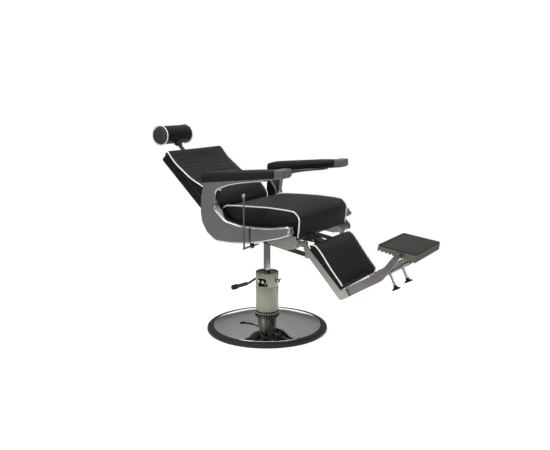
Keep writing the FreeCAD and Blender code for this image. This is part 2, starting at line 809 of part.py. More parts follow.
def make_back():
    top = back_length
    low = 12.0
    half_back = back_width / 2
    shell = side_solid(back_corners([
        (low, 2, 6),
        (top, 0, 8),
        (top, shell_depth, 1),
        (low, shell_depth, 1),
    ]), -half_back, half_back)
    hollow = side_solid(back_corners([
        (low + shell_wall, shell_wall, 3),
        (top - shell_wall, shell_wall, 3),
        (top - shell_wall, shell_depth + 5),
        (low + shell_wall, shell_depth + 5),
    ]), -half_back + shell_wall, half_back - shell_wall)
    shell = shell.common(rounded_top(half_back, top, back_corner))
    hollow = hollow.common(rounded_top(half_back - shell_wall, top - shell_wall, back_corner - shell_wall))
    shell = shell.cut(hollow)
    arm_holes = side_solid(back_corners([
        (frame_low - tube / 2 - 1, frame_n - tube / 2 - 1),
        (frame_low + tube / 2 + 1, frame_n - tube / 2 - 1),
        (frame_low + tube / 2 + 1, frame_n + tube / 2 + 1),
        (frame_low - tube / 2 - 1, frame_n + tube / 2 + 1),
    ]), -half_back - 10, half_back + 10)
    boss_hole = side_solid(back_corners([
        (top - 37, -6),
        (top - 11, -6),
        (top - 11, frame_n - tube / 2 + 2),
        (top - 37, frame_n - tube / 2 + 2),
    ]), -15, 15)
    nodes["back_shell"] = solid_of(shell.cut([arm_holes, boss_hole]))

    board = side_solid(back_corners([
        (low + shell_wall + 1, shell_depth - 10),
        (top - shell_wall - 1, shell_depth - 10),
        (top - shell_wall - 1, shell_depth),
        (low + shell_wall + 1, shell_depth),
    ]), -half_back + shell_wall + 1, half_back - shell_wall - 1)
    board_round = rounded_top(half_back - shell_wall - 1, top - shell_wall - 1, back_corner - shell_wall - 1)
    nodes["back_board"] = solid_of(board.common(board_round))

    cushion = side_solid(back_corners([
        (low + 14, shell_depth + soft_gap, 6),
        (top, shell_depth + soft_gap, 3),
        (top + 4, back_top_thickness, 12),
        (top - 70, back_waist_thickness, 150),
        (top - 205, back_waist_thickness + 17, 250),
        (lumbar_s, lumbar_thickness, 90),
        (44, lumbar_thickness - 13, 40),
        (low + 6, shell_depth + 28, 30),
    ]), -half_back, half_back)
    nodes["back_cushion"] = solid_of(cushion.common(rounded_top(half_back, top + 5, back_corner)))

    frame_half = half_back - 50
    parts = []
    for s in (frame_low, top - 24):
        reach = casting_inner - 17 - iron_thickness if s == frame_low else frame_half + tube / 2
        parts.append(back_tube(s - tube / 2, s + tube / 2, -reach, reach))
    for x in (-frame_half, frame_half):
        parts.append(back_tube(frame_low, top - 24, x - tube / 2, x + tube / 2))
    front = post_n + post_thickness / 2 + 3
    rear = post_n - post_thickness / 2 - 3
    socket = side_solid(back_corners([
        (socket_low, rear, 2),
        (top - 6, rear, 2),
        (top - 6, front),
        (socket_low, front),
    ]), -post_width / 2 - 3, post_width / 2 + 3)
    boss = side_solid(back_corners([
        (top - 36, front - 1),
        (top - 12, front - 1),
        (top - 12, frame_n - tube / 2 + 1),
        (top - 36, frame_n - tube / 2 + 1),
    ]), -14, 14)
    frame = joined(*parts, socket, boss)
    room = side_solid(back_corners([
        (socket_low - 70, post_n - post_thickness / 2 - running * 4),
        (top + 6, post_n - post_thickness / 2 - running * 4),
        (top + 6, post_n + post_thickness / 2 + running * 4),
        (socket_low - 70, post_n + post_thickness / 2 + running * 4),
    ]), -post_width / 2 - side_gap, post_width / 2 + side_gap)
    nodes["back_frame"] = solid_of(frame.cut(room))

    iron = side_solid([
        (back_pivot[0] + 16, back_pivot[1] - 4, 14),
        (back_pivot[0] + 12, back_pivot[1] + 16, 14),
        (back_pivot[0] - 14, back_pivot[1] + 17, 16),
        moved(back_point(frame_low, frame_n), 140, 17) + (12,),
        moved(back_point(frame_low, frame_n), 235, 17) + (12,),
        (bar_rear[0] - 15, bar_rear[1] - 2, 12),
        (bar_rear[0] - 8, bar_rear[1] - 16, 12),
        (bar_rear[0] + 13, bar_rear[1] - 13, 12),
        (bar_rear[0] + 15, bar_rear[1] + 12, 40),
    ], casting_inner - 17 - iron_thickness, casting_inner - 17)
    iron = iron.cut(bar_x(back_pivot, 7, casting_inner - 40, casting_inner))
    nodes["back_irons"] = both(iron)

    reach = casting_inner - 17 - iron_thickness
    tube_solid = bar_x(bar_rear, crank_tube_radius, -reach, reach)
    collars = []
    for x in (bar_outer - bar_thickness - 3.4, bar_outer + 0.4):
        collars.append(bar_x(bar_rear, crank_tube_radius + 4, x, x + 3))
    tube_solid = joined(tube_solid, *collars, *[flipped(c) for c in collars])
    lug = side_solid([
        (bar_rear[0] - 9, bar_rear[1] + 8, 5),
        (bar_rear[0] - 9, bar_rear[1] - 9, 5),
        (stay_end[0] - 3, stay_end[1] - 10, 8),
        (stay_end[0] + 9, stay_end[1] - 9, 8),
        (stay_end[0] + 9, stay_end[1] + 9, 8),
    ], stay_x - 4, stay_x + 4)
    pin = bar_x(stay_end, pivot_radius, stay_x - 13, stay_x + 13)
    nodes["crank_tube"] = joined(tube_solid, lug, pin)


def back_tube(s0, s1, x0, x1):
    return side_solid(back_corners([
        (s0, frame_n - tube / 2),
        (s1, frame_n - tube / 2),
        (s1, frame_n + tube / 2),
        (s0, frame_n + tube / 2),
    ]), x0, x1)


frame_low = 32.0
lumbar_s = 120.0


# ---- linkage ----
def make_linkage():
    end_radius = 12.0
    half = bar_height / 2
    up = bar_angle + 90
    inner, outer = bar_outer - bar_thickness, bar_outer
    strip = side_solid([
        moved(bar_rear, up, half),
        moved(bar_rear, up, -half),
        moved(bar_front, up, -half - 2),
        moved(bar_front, up, half + 2),
    ], inner, outer)
    bar = joined(
        strip,
        bar_x(bar_rear, crank_tube_radius + 7, inner, outer),
        bar_x(bar_front, end_radius, inner, outer),
    )
    bar = bar.cut(bar_x(bar_rear, crank_tube_radius + running, inner - 1, outer + 1))
    bar = solid_of(bar.cut(bar_x(bar_front, pivot_radius + open_pivot_gap, inner - 1, outer + 1)))
    nodes["push_bar_left"] = bar
    nodes["push_bar_right"] = flipped(bar)

    axis = math.degrees(math.atan2(stay_end[1] - stay_pivot[1], stay_end[0] - stay_pivot[0]))
    aim = direction(axis)
    body_start, body_end = moved(stay_pivot, axis, 15), moved(stay_pivot, axis, 158)
    body = joined(
        bar_between(body_start, body_end, stay_radius, stay_x),
        bar_x(stay_pivot, 10, stay_x - 8, stay_x + 8),
        bar_between(stay_pivot, body_start, 7, stay_x),
        bar_x(stay_pivot, pivot_radius - 1 - running, stay_x - 14, stay_x + 14),
    )
    bore = bar_between(moved(stay_pivot, axis, 20), moved(stay_pivot, axis, 150), stay_radius - 3, stay_x)
    neck = bar_between(moved(stay_pivot, axis, 140), moved(stay_pivot, axis, 170), 5 + running, stay_x)
    nodes["recline_cylinder"] = solid_of(body.cut([bore, neck]))

    reach = math.dist(stay_pivot, stay_end)
    rod = bar_between(moved(stay_pivot, axis, 76), moved(stay_pivot, axis, reach - 28), 5, stay_x)
    piston = bar_between(moved(stay_pivot, axis, 78), moved(stay_pivot, axis, 88), stay_radius - 3 - running, stay_x)
    fork_out, fork_in = 11.0, 5.0
    fork_half = pivot_radius + stay_slot + 3.2
    blank = side_solid([
        moved(moved(stay_pivot, axis, reach - 30), axis + 90, 9) + (3,),
        moved(moved(stay_pivot, axis, reach - 30), axis - 90, 9) + (3,),
        moved(moved(stay_pivot, axis, reach + 9.5), axis - 90, fork_half) + (8,),
        moved(moved(stay_pivot, axis, reach + 9.5), axis + 90, fork_half) + (8,),
    ], stay_x - fork_out, stay_x + fork_out)
    jaw = side_solid([
        moved(moved(stay_pivot, axis, reach - 19), axis + 90, 30),
        moved(moved(stay_pivot, axis, reach - 19), axis - 90, 30),
        moved(moved(stay_pivot, axis, reach + 40), axis - 90, 30),
        moved(moved(stay_pivot, axis, reach + 40), axis + 90, 30),
    ], stay_x - fork_in, stay_x + fork_in)
    centre = stay_end
    hole_half = pivot_radius + stay_slot
    hole_wide = pivot_radius + 1.2
    hole = side_solid([
        moved(moved(centre, axis, hole_wide), axis + 90, hole_half) + (5,),
        moved(moved(centre, axis, -hole_wide), axis + 90, hole_half) + (5,),
        moved(moved(centre, axis, -hole_wide), axis - 90, hole_half) + (5,),
        moved(moved(centre, axis, hole_wide), axis - 90, hole_half) + (5,),
    ], stay_x - 20, stay_x + 20)
    fork = solid_of(blank.cut([jaw, hole]))
    nodes["recline_rod"] = joined(rod, piston, fork)

    top = (lever_pivot[0], lever_pivot[1] + lever_length)
    shaft = bar_x(lever_pivot, pivot_radius - running, lever_x - 5.5, stay_x - 4)
    finger = bar_between(lever_pivot, moved(lever_pivot, 18, 17), 3, stay_x - 7)
    lever = joined(shaft, bar_between(lever_pivot, top, 4.5, lever_x), finger)
    nodes["recline_lever"] = lever
    knob = joined(
        Part.makeCylinder(6.5, 7, place(lever_x, top[0], top[1] + 4)),
        Part.makeCone(6.5, 9.5, 6, place(lever_x, top[0], top[1] + 11)),
        Part.makeSphere(9.8, place(lever_x, top[0], top[1] + 18)),
    )
    seat_hole = Part.makeCylinder(4.5, 14, place(lever_x, top[0], top[1] - 2))
    shank = Part.makeCylinder(7, 6, place(lever_x, top[0], top[1] - 2))
    nodes["lever_knob"] = solid_of(joined(knob, shank).cut(seat_hole.common(Part.makeBox(100, 100, 2, place(lever_x - 50, top[0] + 50, top[1] - 2)))))


# ---- headrest ----
post_pivot = back_point(back_length + post_rise, post_n)
roll_centre = back_point(back_length + roll_rise, roll_n)


def make_headrest():
    post = side_solid(back_corners([
        (socket_low, post_n - post_thickness / 2, 1),
        (back_length + post_rise, post_n - post_thickness / 2),
        (back_length + post_rise, post_n + post_thickness / 2),
        (socket_low, post_n + post_thickness / 2, 1),
    ]), -post_width / 2, post_width / 2)
    post = joined(post, bar_x(post_pivot, 9, -post_width / 2, post_width / 2))
    nodes["head_post"] = solid_of(post.cut(bar_x(post_pivot, 4 + running, -20, 20)))

    rise = math.degrees(math.atan2(roll_centre[1] - post_pivot[1], roll_centre[0] - post_pivot[0]))
    ear_outer = post_width / 2 + 6.5
    blank = side_solid([
        moved(post_pivot, rise + 90, 9) + (2,),
        moved(post_pivot, rise + 180, 9) + (8,),
        moved(post_pivot, rise - 90, 9) + (2,),
        moved(moved(post_pivot, rise, 30), rise - 90, 24),
        moved(moved(post_pivot, rise, 30), rise + 90, 24),
    ], -ear_outer, ear_outer)
    blank = blank.cut(bar_x(roll_centre, roll_radius + soft_gap, -40, 40))
    gap = bar_x(post_pivot, 11, -post_width / 2 - side_gap, post_width / 2 + side_gap)
    bracket = blank.cut(gap)
    bracket = joined(bracket, bar_x(post_pivot, 9, -ear_outer, -post_width / 2 - side_gap),
                     bar_x(post_pivot, 9, post_width / 2 + side_gap, ear_outer),
                     bar_x(post_pivot, 4, -ear_outer - 3, ear_outer + 3))
    nodes["head_bracket"] = bracket
    nodes["head_roll"] = bar_x(roll_centre, roll_radius, -roll_length / 2, roll_length / 2)


# ---- legrest ----
rail_front = 0.7
rail_rear = rail_front - rail_width


def make_legrest():
    root = leg_point(rail_length + 1, rail_rear - 7)
    upper = moved(root, foot_arm_angle + 90, foot_arm_width)
    rail_turn = leg_angle - 90
    corner = meet(leg_point(0, rail_front), rail_turn, upper, foot_arm_angle)
    joint = moved(root, foot_arm_angle, 55)
    rail = side_solid(leg_corners([(-4, -13, 9), (-4, 13, 9), (24, rail_front, 20)]) + [
        corner + (6,),
        moved(joint, foot_arm_angle + 90, foot_arm_width) + (2,),
        joint + (2,),
        root + (20,),
    ] + leg_corners([(74, rail_rear, 30), (54, rail_rear - 8, 10)]), rail_inner, half_leg)
    rail = joined(rail, bar_x(leg_pivot, 14, rail_inner, half_leg), bar_x(bar_front, 12, rail_inner, half_leg))
    rail = rail.cut(bar_x(leg_pivot, pivot_radius + 1, rail_inner - 1, half_leg + 1))
    stud = joined(
        bar_x(bar_front, pivot_radius, bar_outer - bar_thickness - 2, rail_inner + 1),
        bar_x(bar_front, pivot_radius + 3, bar_outer - bar_thickness - 5, bar_outer - bar_thickness - 1.5),
    )
    strips = []
    for s in (58, leg_pad_end - 22):
        strips.append(side_solid(leg_corners([
            (s, rail_front - 6),
            (s + 25, rail_front - 6),
            (s + 25, rail_front),
            (s, rail_front),
        ]), -rail_inner - 1, rail_inner + 1))
    lip = side_solid(leg_corners([
        (leg_pad_end - 4, rail_front - 6),
        (leg_pad_end + 4, rail_front - 6),
        (leg_pad_end + 4, leg_board + 6, 2),
        (leg_pad_end + 1, leg_board + 6, 1),
        (leg_pad_end + 1, rail_front),
        (leg_pad_end - 4, rail_front),
    ]), -rail_inner - 1, rail_inner + 1)
    nodes["legrest_frame"] = joined(rail, flipped(rail), stud, flipped(stud), *strips, lip)

    leaf = side_solid([
        moved(leg_pivot, 90, 10) + (4,),
        leg_point(34, leg_board + 16) + (3,),
        leg_point(32, leg_board + 3),
        leg_point(57.6, rail_front + 4),
        leg_point(57.6, rail_front - 5),
        moved(leg_pivot, 200, 10) + (6,),
    ], leaf_x - leaf_half, leaf_x + leaf_half)
    leaf = leaf.cut(bar_x(leg_pivot, pivot_radius, leaf_x - 40, leaf_x + 40))
    nodes["legrest_leaf"] = solid_of(leaf)

    board = side_solid(leg_corners([
        (leg_pad_start + 17, rail_front + 0.3),
        (leg_pad_end - 3, rail_front + 0.3),
        (leg_pad_end - 3, rail_front + 0.3 + leg_board),
        (leg_pad_start + 17, rail_front + 0.3 + leg_board),
    ]), -half_leg + 6, half_leg - 6)
    nodes["legrest_board"] = solid_of(board.cut(nodes["legrest_leaf"]))
    pad_rear = rail_front + leg_board + 2 * soft_gap
    cushion = side_solid(leg_corners([
        (leg_pad_start, pad_rear, 3),
        (leg_pad_start + 4, 26, 16),
        (leg_pad_start + 24, 41, 18),
        (leg_pad_start + 60, 41, 80),
        (leg_pad_start + 170, 27.5, 300),
        (leg_pad_end - 7, 25, 10),
        (leg_pad_end, pad_rear, 3),
    ]), -half_leg, half_leg)
    grown = nodes["legrest_leaf"].copy()
    nodes["legrest_cushion"] = solid_of(cushion.cut(grown))

    pivot = (root[0] + foot_reach, root[1] + foot_rise)
    bend = moved(root, foot_arm_angle, foot_arm_first)
    second = math.degrees(math.atan2(pivot[1] - bend[1], pivot[0] - bend[0]))
    tip_turn = second - 8
    bend_upper = meet(upper, foot_arm_angle, moved(pivot, tip_turn + 90, foot_tip_radius), tip_turn)
    arm = side_solid([
        moved(root, foot_arm_angle, 4) + (3,),
        bend + (70,),
        moved(pivot, tip_turn - 90, foot_tip_radius),
        moved(pivot, tip_turn + 90, foot_tip_radius),
        bend_upper + (30,),
        moved(upper, foot_arm_angle, 38) + (3,),
    ], foot_arm_inner, foot_arm_outer)
    arm = joined(arm, bar_x(pivot, foot_tip_radius, foot_arm_inner, foot_arm_outer))
    arm = rounded_edges(arm, 2, lambda e: at_x(e, foot_arm_inner) and e.BoundBox.ZMin > root[1] + 40)
    cross = moved(bend, foot_arm_angle + 96, 19)
    arm = arm.cut([bar_x(pivot, pivot_radius, 0, half_leg), bar_x(cross, 7, foot_arm_inner - 1, foot_arm_inner + 5)])
    nodes["foot_arms"] = both(solid_of(arm))
    return pivot, cross


def make_foot(pivot, cross):
    lean = -64.7
    stub_end = moved(cross, lean, stub_length)
    rod = joined(
        bar_x(cross, 9, -foot_arm_inner, foot_arm_inner),
        bar_x(cross, 7 - running, -foot_arm_inner - 5, foot_arm_inner + 5),
    )
    stubs = [bar_between(cross, stub_end, stub_radius, x) for x in (-stub_spacing / 2, stub_spacing / 2)]
    nodes["foot_crossbar"] = joined(rod, *stubs)
    feet = []
    for x in (-stub_spacing / 2, stub_spacing / 2):
        neck_low = moved(stub_end, lean, -15)
        foot = joined(
            bar_between(neck_low, moved(stub_end, lean, -6), stub_radius + 3, x),
            Part.makeCone(stub_radius + 3, 22, 8, place(x, *moved(stub_end, lean, -6)), direction(lean)),
            bar_between(moved(stub_end, lean, 2), moved(stub_end, lean, 6), 22, x),
        )
        foot = foot.cut(bar_between(moved(neck_low, lean, -5), stub_end, stub_radius, x))
        feet.append(solid_of(foot))
    nodes["stub_feet"] = Part.makeCompound(feet)

    def foot_point(e, k):
        return moved(moved(pivot, -foot_slope, e), 90 - foot_slope, k)

    top = foot_top - foot_pad_thickness
    rear_low = foot_top - foot_side_rear
    front_low = foot_top - foot_side_front
    length = foot_front + foot_rear
    pitch = length / foot_teeth
    corners = [foot_point(foot_front, top) + (2,), foot_point(-foot_rear, top) + (2,)]
    for i in range(foot_teeth):
        for share, lift in ((0.0, 0.0), (0.45, 0.0), (0.6, 1.0), (0.85, 1.0)):
            if i == foot_teeth - 1 and share > 0.5:
                continue
            along = (i + share) / foot_teeth
            low = rear_low + (front_low - rear_low) * along + lift * tooth_depth
            corners.append(foot_point(-foot_rear + along * length, low) + (1.5,))
    corners.append(foot_point(foot_front, front_low) + (3,))
    half_foot = foot_width / 2
    plate = side_solid(corners, -half_foot, half_foot)
    for side in (-1, 1):
        x_in, x_out = sorted((side * (half_foot - 30), side * (half_foot + 1)))
        plate = plate.cut(bar_x(pivot, pivot_radius, x_in, x_out))
    nodes["foot_plate"] = solid_of(plate)
    nodes["foot_pad"] = side_solid([
        foot_point(-foot_rear + 1, top + 0.05),
        foot_point(foot_front - 1, top + 0.05),
        foot_point(foot_front - 2, foot_top) + (2,),
        foot_point(-foot_rear + 2, foot_top) + (2,),
    ], -half_foot + 1.5, half_foot - 1.5)

    bolt = joined(
        bar_x(pivot, pivot_radius - running, half_foot - 29, foot_arm_outer + 1),
        bar_x(pivot, 8, half_foot + 0.5, foot_arm_inner - 0.1),
        hexagon_x(pivot, 15, foot_arm_outer + 0.1, foot_arm_outer + 6),
    )
    nodes["foot_bolts"] = both(bolt)


make_base()
make_pump()
make_pedal()
make_ram()
make_saddle()
make_seat_frame()
make_hinge_plates()
make_seat()
make_arms()
make_pins_and_brackets()
make_back()
make_linkage()
make_headrest()
foot_pivot, crossbar = make_legrest()
make_foot(foot_pivot, crossbar)

for name in sorted(nodes):
    shape = nodes[name]
    print(name, len(shape.Solids), shape.isValid(), round(shape.Volume / 1000, 1))
    shape.exportStep("parts/" + name + ".step")

places = {
    "back_pivot": back_pivot,
    "leg_pivot": leg_pivot,
    "bar_rear": bar_rear,
    "bar_front": bar_front,
    "stay_pivot": stay_pivot,
    "stay_end": stay_end,
    "lever_pivot": lever_pivot,
    "post_pivot": post_pivot,
    "roll_centre": roll_centre,
    "fork_pivot": fork_pivot,
    "lock_pivot": lock_pivot,
    "foot_pivot": foot_pivot,
    "crossbar": crossbar,
}
for name, spot in places.items():
    print(name, "forward %.3f height %.3f" % spot)
print("legrest turns", round(leg_range, 3), "nodes", len(nodes))
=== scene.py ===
import json
import math

import bpy
import numpy as np
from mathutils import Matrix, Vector


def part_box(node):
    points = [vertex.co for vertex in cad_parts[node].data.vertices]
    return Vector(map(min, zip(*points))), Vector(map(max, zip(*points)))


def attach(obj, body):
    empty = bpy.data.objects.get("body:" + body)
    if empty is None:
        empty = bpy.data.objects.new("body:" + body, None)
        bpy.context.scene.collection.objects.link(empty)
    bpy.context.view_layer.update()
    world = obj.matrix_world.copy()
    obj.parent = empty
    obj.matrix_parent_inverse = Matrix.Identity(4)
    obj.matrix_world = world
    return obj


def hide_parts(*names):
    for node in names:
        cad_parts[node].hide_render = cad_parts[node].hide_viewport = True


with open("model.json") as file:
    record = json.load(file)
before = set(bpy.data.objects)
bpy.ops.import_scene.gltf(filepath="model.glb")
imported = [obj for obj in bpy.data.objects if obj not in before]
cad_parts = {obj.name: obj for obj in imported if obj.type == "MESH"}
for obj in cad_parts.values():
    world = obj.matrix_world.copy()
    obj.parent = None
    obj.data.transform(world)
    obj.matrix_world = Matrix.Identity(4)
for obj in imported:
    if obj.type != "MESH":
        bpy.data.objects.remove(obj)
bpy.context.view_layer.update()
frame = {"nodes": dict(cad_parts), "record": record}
bpy.ops.object.select_all(action="DESELECT")

# The chair faces -Y. Side views below use (forward, height), as the chair's drawings do.
backHinge = (-0.130, 0.650)
backLean = math.radians(45.8)
backRear = 0.0686   # the hinge's height over the back's rear face
legHinge = (0.339, 0.544)
legSlope = math.radians(43.15)
armSlope = math.radians(6.25)
hands = ((-1, "right"), (1, "left"))   # the sitter's right is at -X


def place(x, forward, height):
    return Vector((x, -forward, height))


def only(*pieces):
    bpy.ops.object.select_all(action="DESELECT")
    for piece in pieces:
        piece.select_set(True)
    bpy.context.view_layer.objects.active = pieces[0]


def editing(on):
    bpy.ops.object.mode_set(mode="EDIT" if on else "OBJECT")


def applyAll(piece):
    only(piece)
    for modifier in list(piece.modifiers):
        bpy.ops.object.modifier_apply(modifier=modifier.name)


def settle(piece):
    only(piece)
    bpy.ops.object.transform_apply(location=True, rotation=True, scale=True)


def points(piece):
    flat = np.empty(len(piece.data.vertices) * 3)
    piece.data.vertices.foreach_get("co", flat)
    return flat.reshape(-1, 3)


def setPoints(piece, spots):
    piece.data.vertices.foreach_set("co", spots.ravel())
    piece.data.update()


def normals(piece):
    flat = np.empty(len(piece.data.vertices) * 3)
    piece.data.vertices.foreach_get("normal", flat)
    return flat.reshape(-1, 3)


class Wire:
    def __init__(self, tree, socket=None):
        self.tree, self.socket = tree, socket

    def node(self, kind, settings=None, sockets=None, out=0):
        made = self.tree.nodes.new("ShaderNode" + kind)
        for name, value in (settings or {}).items():
            if name == "stops":
                ramp = made.color_ramp.elements
                while len(ramp) < len(value):
                    ramp.new(0.5)
                for stop, (spot, shade) in zip(ramp, value):
                    stop.position = spot
                    stop.color = (shade, shade, shade, 1) if isinstance(shade, float) else shade
            else:
                setattr(made, name, value)
        for name, value in (sockets or {}).items():
            if isinstance(value, Wire):
                self.tree.links.new(value.socket, made.inputs[name])
            else:
                made.inputs[name].default_value = value
        return Wire(self.tree, made.outputs[out])

    def maths(self, operation, first, second=0.0):
        return self.node("Math", {"operation": operation}, {0: first, 1: second})

    def __add__(self, other):
        return self.maths("ADD", self, other)

    __radd__ = __add__

    def __mul__(self, other):
        return self.maths("MULTIPLY", self, other)

    __rmul__ = __mul__

    def __sub__(self, other):
        return self.maths("SUBTRACT", self, other)

    def __rsub__(self, other):
        return self.maths("SUBTRACT", other, self)


def blendColours(wire, amount, dark, light):
    shades = {"Factor": amount, 6: (*dark, 1), 7: (*light, 1)}
    return wire.node("Mix", {"data_type": "RGBA"}, shades, out=2)


def ramp(wire, value, low, high):
    return wire.node("ValToRGB", {"stops": [(low, 0.0), (high, 1.0)]}, {0: value})


def noise(wire, spot, scale, detail=3.0, rough=0.55):
    return wire.node("TexNoise", None, {"Vector": spot, "Scale": scale, "Detail": detail, "Roughness": rough})


def stretched(wire, spot, scale):
    return wire.node("Mapping", None, {"Vector": spot, "Scale": scale})


def newMaterial(name, metallic=0.0, coat=0.0, specular=0.5):
    material = bpy.data.materials.new(name)
    material.use_nodes = True
    shader = material.node_tree.nodes["Principled BSDF"]
    shader.inputs["Metallic"].default_value = metallic
    shader.inputs["Coat Weight"].default_value = coat
    shader.inputs["Coat Roughness"].default_value = 0.2
    shader.inputs["Specular IOR Level"].default_value = specular
    wire = Wire(material.node_tree)
    spot = wire.node("TexCoord", out=3)
    return material, shader, wire, spot


def plug(wire, shader, **links):
    names = {"colour": "Base Color", "rough": "Roughness", "normal": "Normal"}
    for name, value in links.items():
        if isinstance(value, Wire):
            wire.tree.links.new(value.socket, shader.inputs[names[name]])
        else:
            shader.inputs[names[name]].default_value = value


def bump(wire, height, strength, distance, under=None):
    sockets = {"Height": height, "Strength": strength, "Distance": distance}
    if under is not None:
        sockets["Normal"] = under
    return wire.node("Bump", None, sockets)


leatherLook = {"name": "leatherBlack", "dark": (0.0028, 0.0028, 0.003), "light": (0.0072, 0.007, 0.0072),
               "rough": 0.38, "grain": 780.0}
# the head roll's end faces get a lighter copy of the leather, a painted sheen standing in for the light that
# falls on those faces
rollEndSheenLook = {"name": "leatherRollEndSheen", "dark": (0.022, 0.023, 0.022), "light": (0.05, 0.052, 0.047),
               "rough": 0.42, "grain": 780.0}


def makeLeather(look):
    material, shader, wire, spot = newMaterial(look["name"], specular=0.2)
    warp = noise(wire, spot, 130.0, 2.0)
    bent = wire.node("Mix", {"data_type": "VECTOR"}, {"Factor": 0.006, 4: spot, 5: warp}, out=1)
    cells = wire.node("TexVoronoi", {"feature": "DISTANCE_TO_EDGE"}, {"Vector": bent, "Scale": look["grain"]})
    pebbles = ramp(wire, cells, 0.0, 0.16)
    creases = noise(wire, spot, 46.0, 5.0, 0.62)
    broad = noise(wire, spot, 7.0, 2.0)
    handled = noise(wire, spot, 22.0, 4.0, 0.6)
    shade = ramp(wire, handled, 0.3, 0.72)
    colour = blendColours(wire, shade * 0.55 + pebbles * 0.45, look["dark"], look["light"])
    normal = bump(wire, broad, 0.25, 0.004)
    normal = bump(wire, creases, 0.3, 0.0008, normal)
    normal = bump(wire, pebbles, 0.5, 0.00022, normal)
    plug(wire, shader, colour=colour, rough=look["rough"] + shade * 0.12 - pebbles * 0.04, normal=normal)
    return material


pipingLook = {"clean": (0.86, 0.85, 0.82), "soiled": (0.72, 0.71, 0.67), "rough": 0.42}


def makePiping(look):
    material, shader, wire, spot = newMaterial("pipingWhite", specular=0.4)
    grain = wire.node("TexVoronoi", None, {"Vector": spot, "Scale": 900.0})
    dust = noise(wire, spot, 60.0, 4.0)
    shade = ramp(wire, dust, 0.35, 0.7)
    colour = blendColours(wire, shade, look["clean"], look["soiled"])
    normal = bump(wire, grain, 0.3, 0.0002)
    plug(wire, shader, colour=colour, rough=look["rough"] + shade * 0.15, normal=normal)
    return material


# stretch draws the fine streaks out along an axis, and spread is how far the roughness varies
metalLooks = {
    "polished_casting": {"name": "castingPolished", "dark": (0.4, 0.42, 0.405), "light": (0.47, 0.49, 0.475),
                         "rough": 0.12, "spread": 0.05, "stretch": (1, 0.25, 1), "scale": 30.0,
                         "grain": 0.02},
    "chrome": {"name": "chromeBright", "dark": (0.3, 0.3, 0.3), "light": (0.39, 0.39, 0.385),
               "rough": 0.09, "spread": 0.05, "stretch": (1, 1, 1), "scale": 24.0, "grain": 0.02},
    "steel": {"name": "steelTurned", "dark": (0.4, 0.4, 0.39), "light": (0.55, 0.55, 0.53),
              "rough": 0.28, "spread": 0.14, "stretch": (1, 1, 5), "scale": 60.0, "grain": 0.1},
    "column_paint": {"name": "columnSatin", "dark": (0.23, 0.234, 0.182), "light": (0.31, 0.314, 0.252),
                     "rough": 0.24, "spread": 0.1, "stretch": (1, 1, 0.12), "scale": 90.0, "grain": 0.08,
                     "metallic": 0.9},
    "plate_paint": {"name": "plateSatin", "dark": (0.3, 0.305, 0.27), "light": (0.4, 0.405, 0.365),
                    "rough": 0.28, "spread": 0.12, "stretch": (1, 0.3, 0.3), "scale": 70.0, "grain": 0.08,
                    "metallic": 0.85},
    "arm_metal": {"name": "footArmSatin", "dark": (0.17, 0.155, 0.15), "light": (0.25, 0.23, 0.222),
                  "rough": 0.28, "spread": 0.12, "stretch": (1, 0.3, 0.3), "scale": 70.0, "grain": 0.1,
                  "metallic": 0.85},
    "tread_metal": {"name": "treadSatin", "dark": (0.13, 0.13, 0.1), "light": (0.2, 0.2, 0.16),
                    "rough": 0.36, "spread": 0.12, "stretch": (0.2, 1, 1), "scale": 60.0, "grain": 0.12,
                    "metallic": 0.8},
}
domeLook = {"name": "domeChrome", "dark": (0.36, 0.375, 0.36), "light": (0.42, 0.435, 0.42),
            "rough": 0.05, "spread": 0.03, "stretch": (1, 1, 1), "scale": 14.0, "grain": 0.01}


def makeMetal(look):
    material, shader, wire, spot = newMaterial(look["name"], metallic=look.get("metallic", 1.0))
    streaks = noise(wire, stretched(wire, spot, look["stretch"]), look["scale"], 6.0, 0.6)
    clouds = noise(wire, spot, 9.0, 3.0)
    shade = ramp(wire, clouds, 0.3, 0.7)
    fine = ramp(wire, streaks, 0.25, 0.75)
    colour = blendColours(wire, shade * 0.6 + fine * 0.4, look["dark"], look["light"])
    rough = look["rough"] + fine * look["spread"] * 0.6 + shade * look["spread"] * 0.4
    plug(wire, shader, colour=colour, rough=rough, normal=bump(wire, streaks, look["grain"], 0.0003))
    return material


paintLooks = {
    "iron": {"name": "ironPainted", "dark": (0.02, 0.02, 0.02), "light": (0.05, 0.05, 0.05),
             "rough": 0.55, "peel": 0.4},
    "black_paint": {"name": "paintBlack", "dark": (0.006, 0.006, 0.006), "light": (0.018, 0.018, 0.018),
                    "rough": 0.34, "peel": 0.12},
    "trim": {"name": "trimGrey", "dark": (0.085, 0.085, 0.082), "light": (0.13, 0.13, 0.125),
             "rough": 0.38, "peel": 0.2},
}


def makePaint(look):
    material, shader, wire, spot = newMaterial(look["name"], coat=0.15)
    skin = noise(wire, spot, 420.0, 2.0)
    clouds = noise(wire, spot, 14.0, 4.0)
    scuffs = noise(wire, stretched(wire, spot, (1, 1, 6)), 55.0, 6.0, 0.7)
    worn = ramp(wire, scuffs, 0.62, 0.74)
    colour = blendColours(wire, clouds * 0.7 + worn * 0.3, look["dark"], look["light"])
    rough = look["rough"] + worn * 0.12 + clouds * 0.05
    plug(wire, shader, colour=colour, rough=rough, normal=bump(wire, skin, look["peel"], 0.0002))
    return material


rubberLooks = {
    "tread_rubber": {"name": "treadRubber", "dark": (0.01, 0.0105, 0.0095), "light": (0.02, 0.021, 0.018),
                     "rough": 0.55},
    "rubber": {"name": "rubberBlack", "dark": (0.004, 0.004, 0.004), "light": (0.011, 0.011, 0.011),
               "rough": 0.5},
}


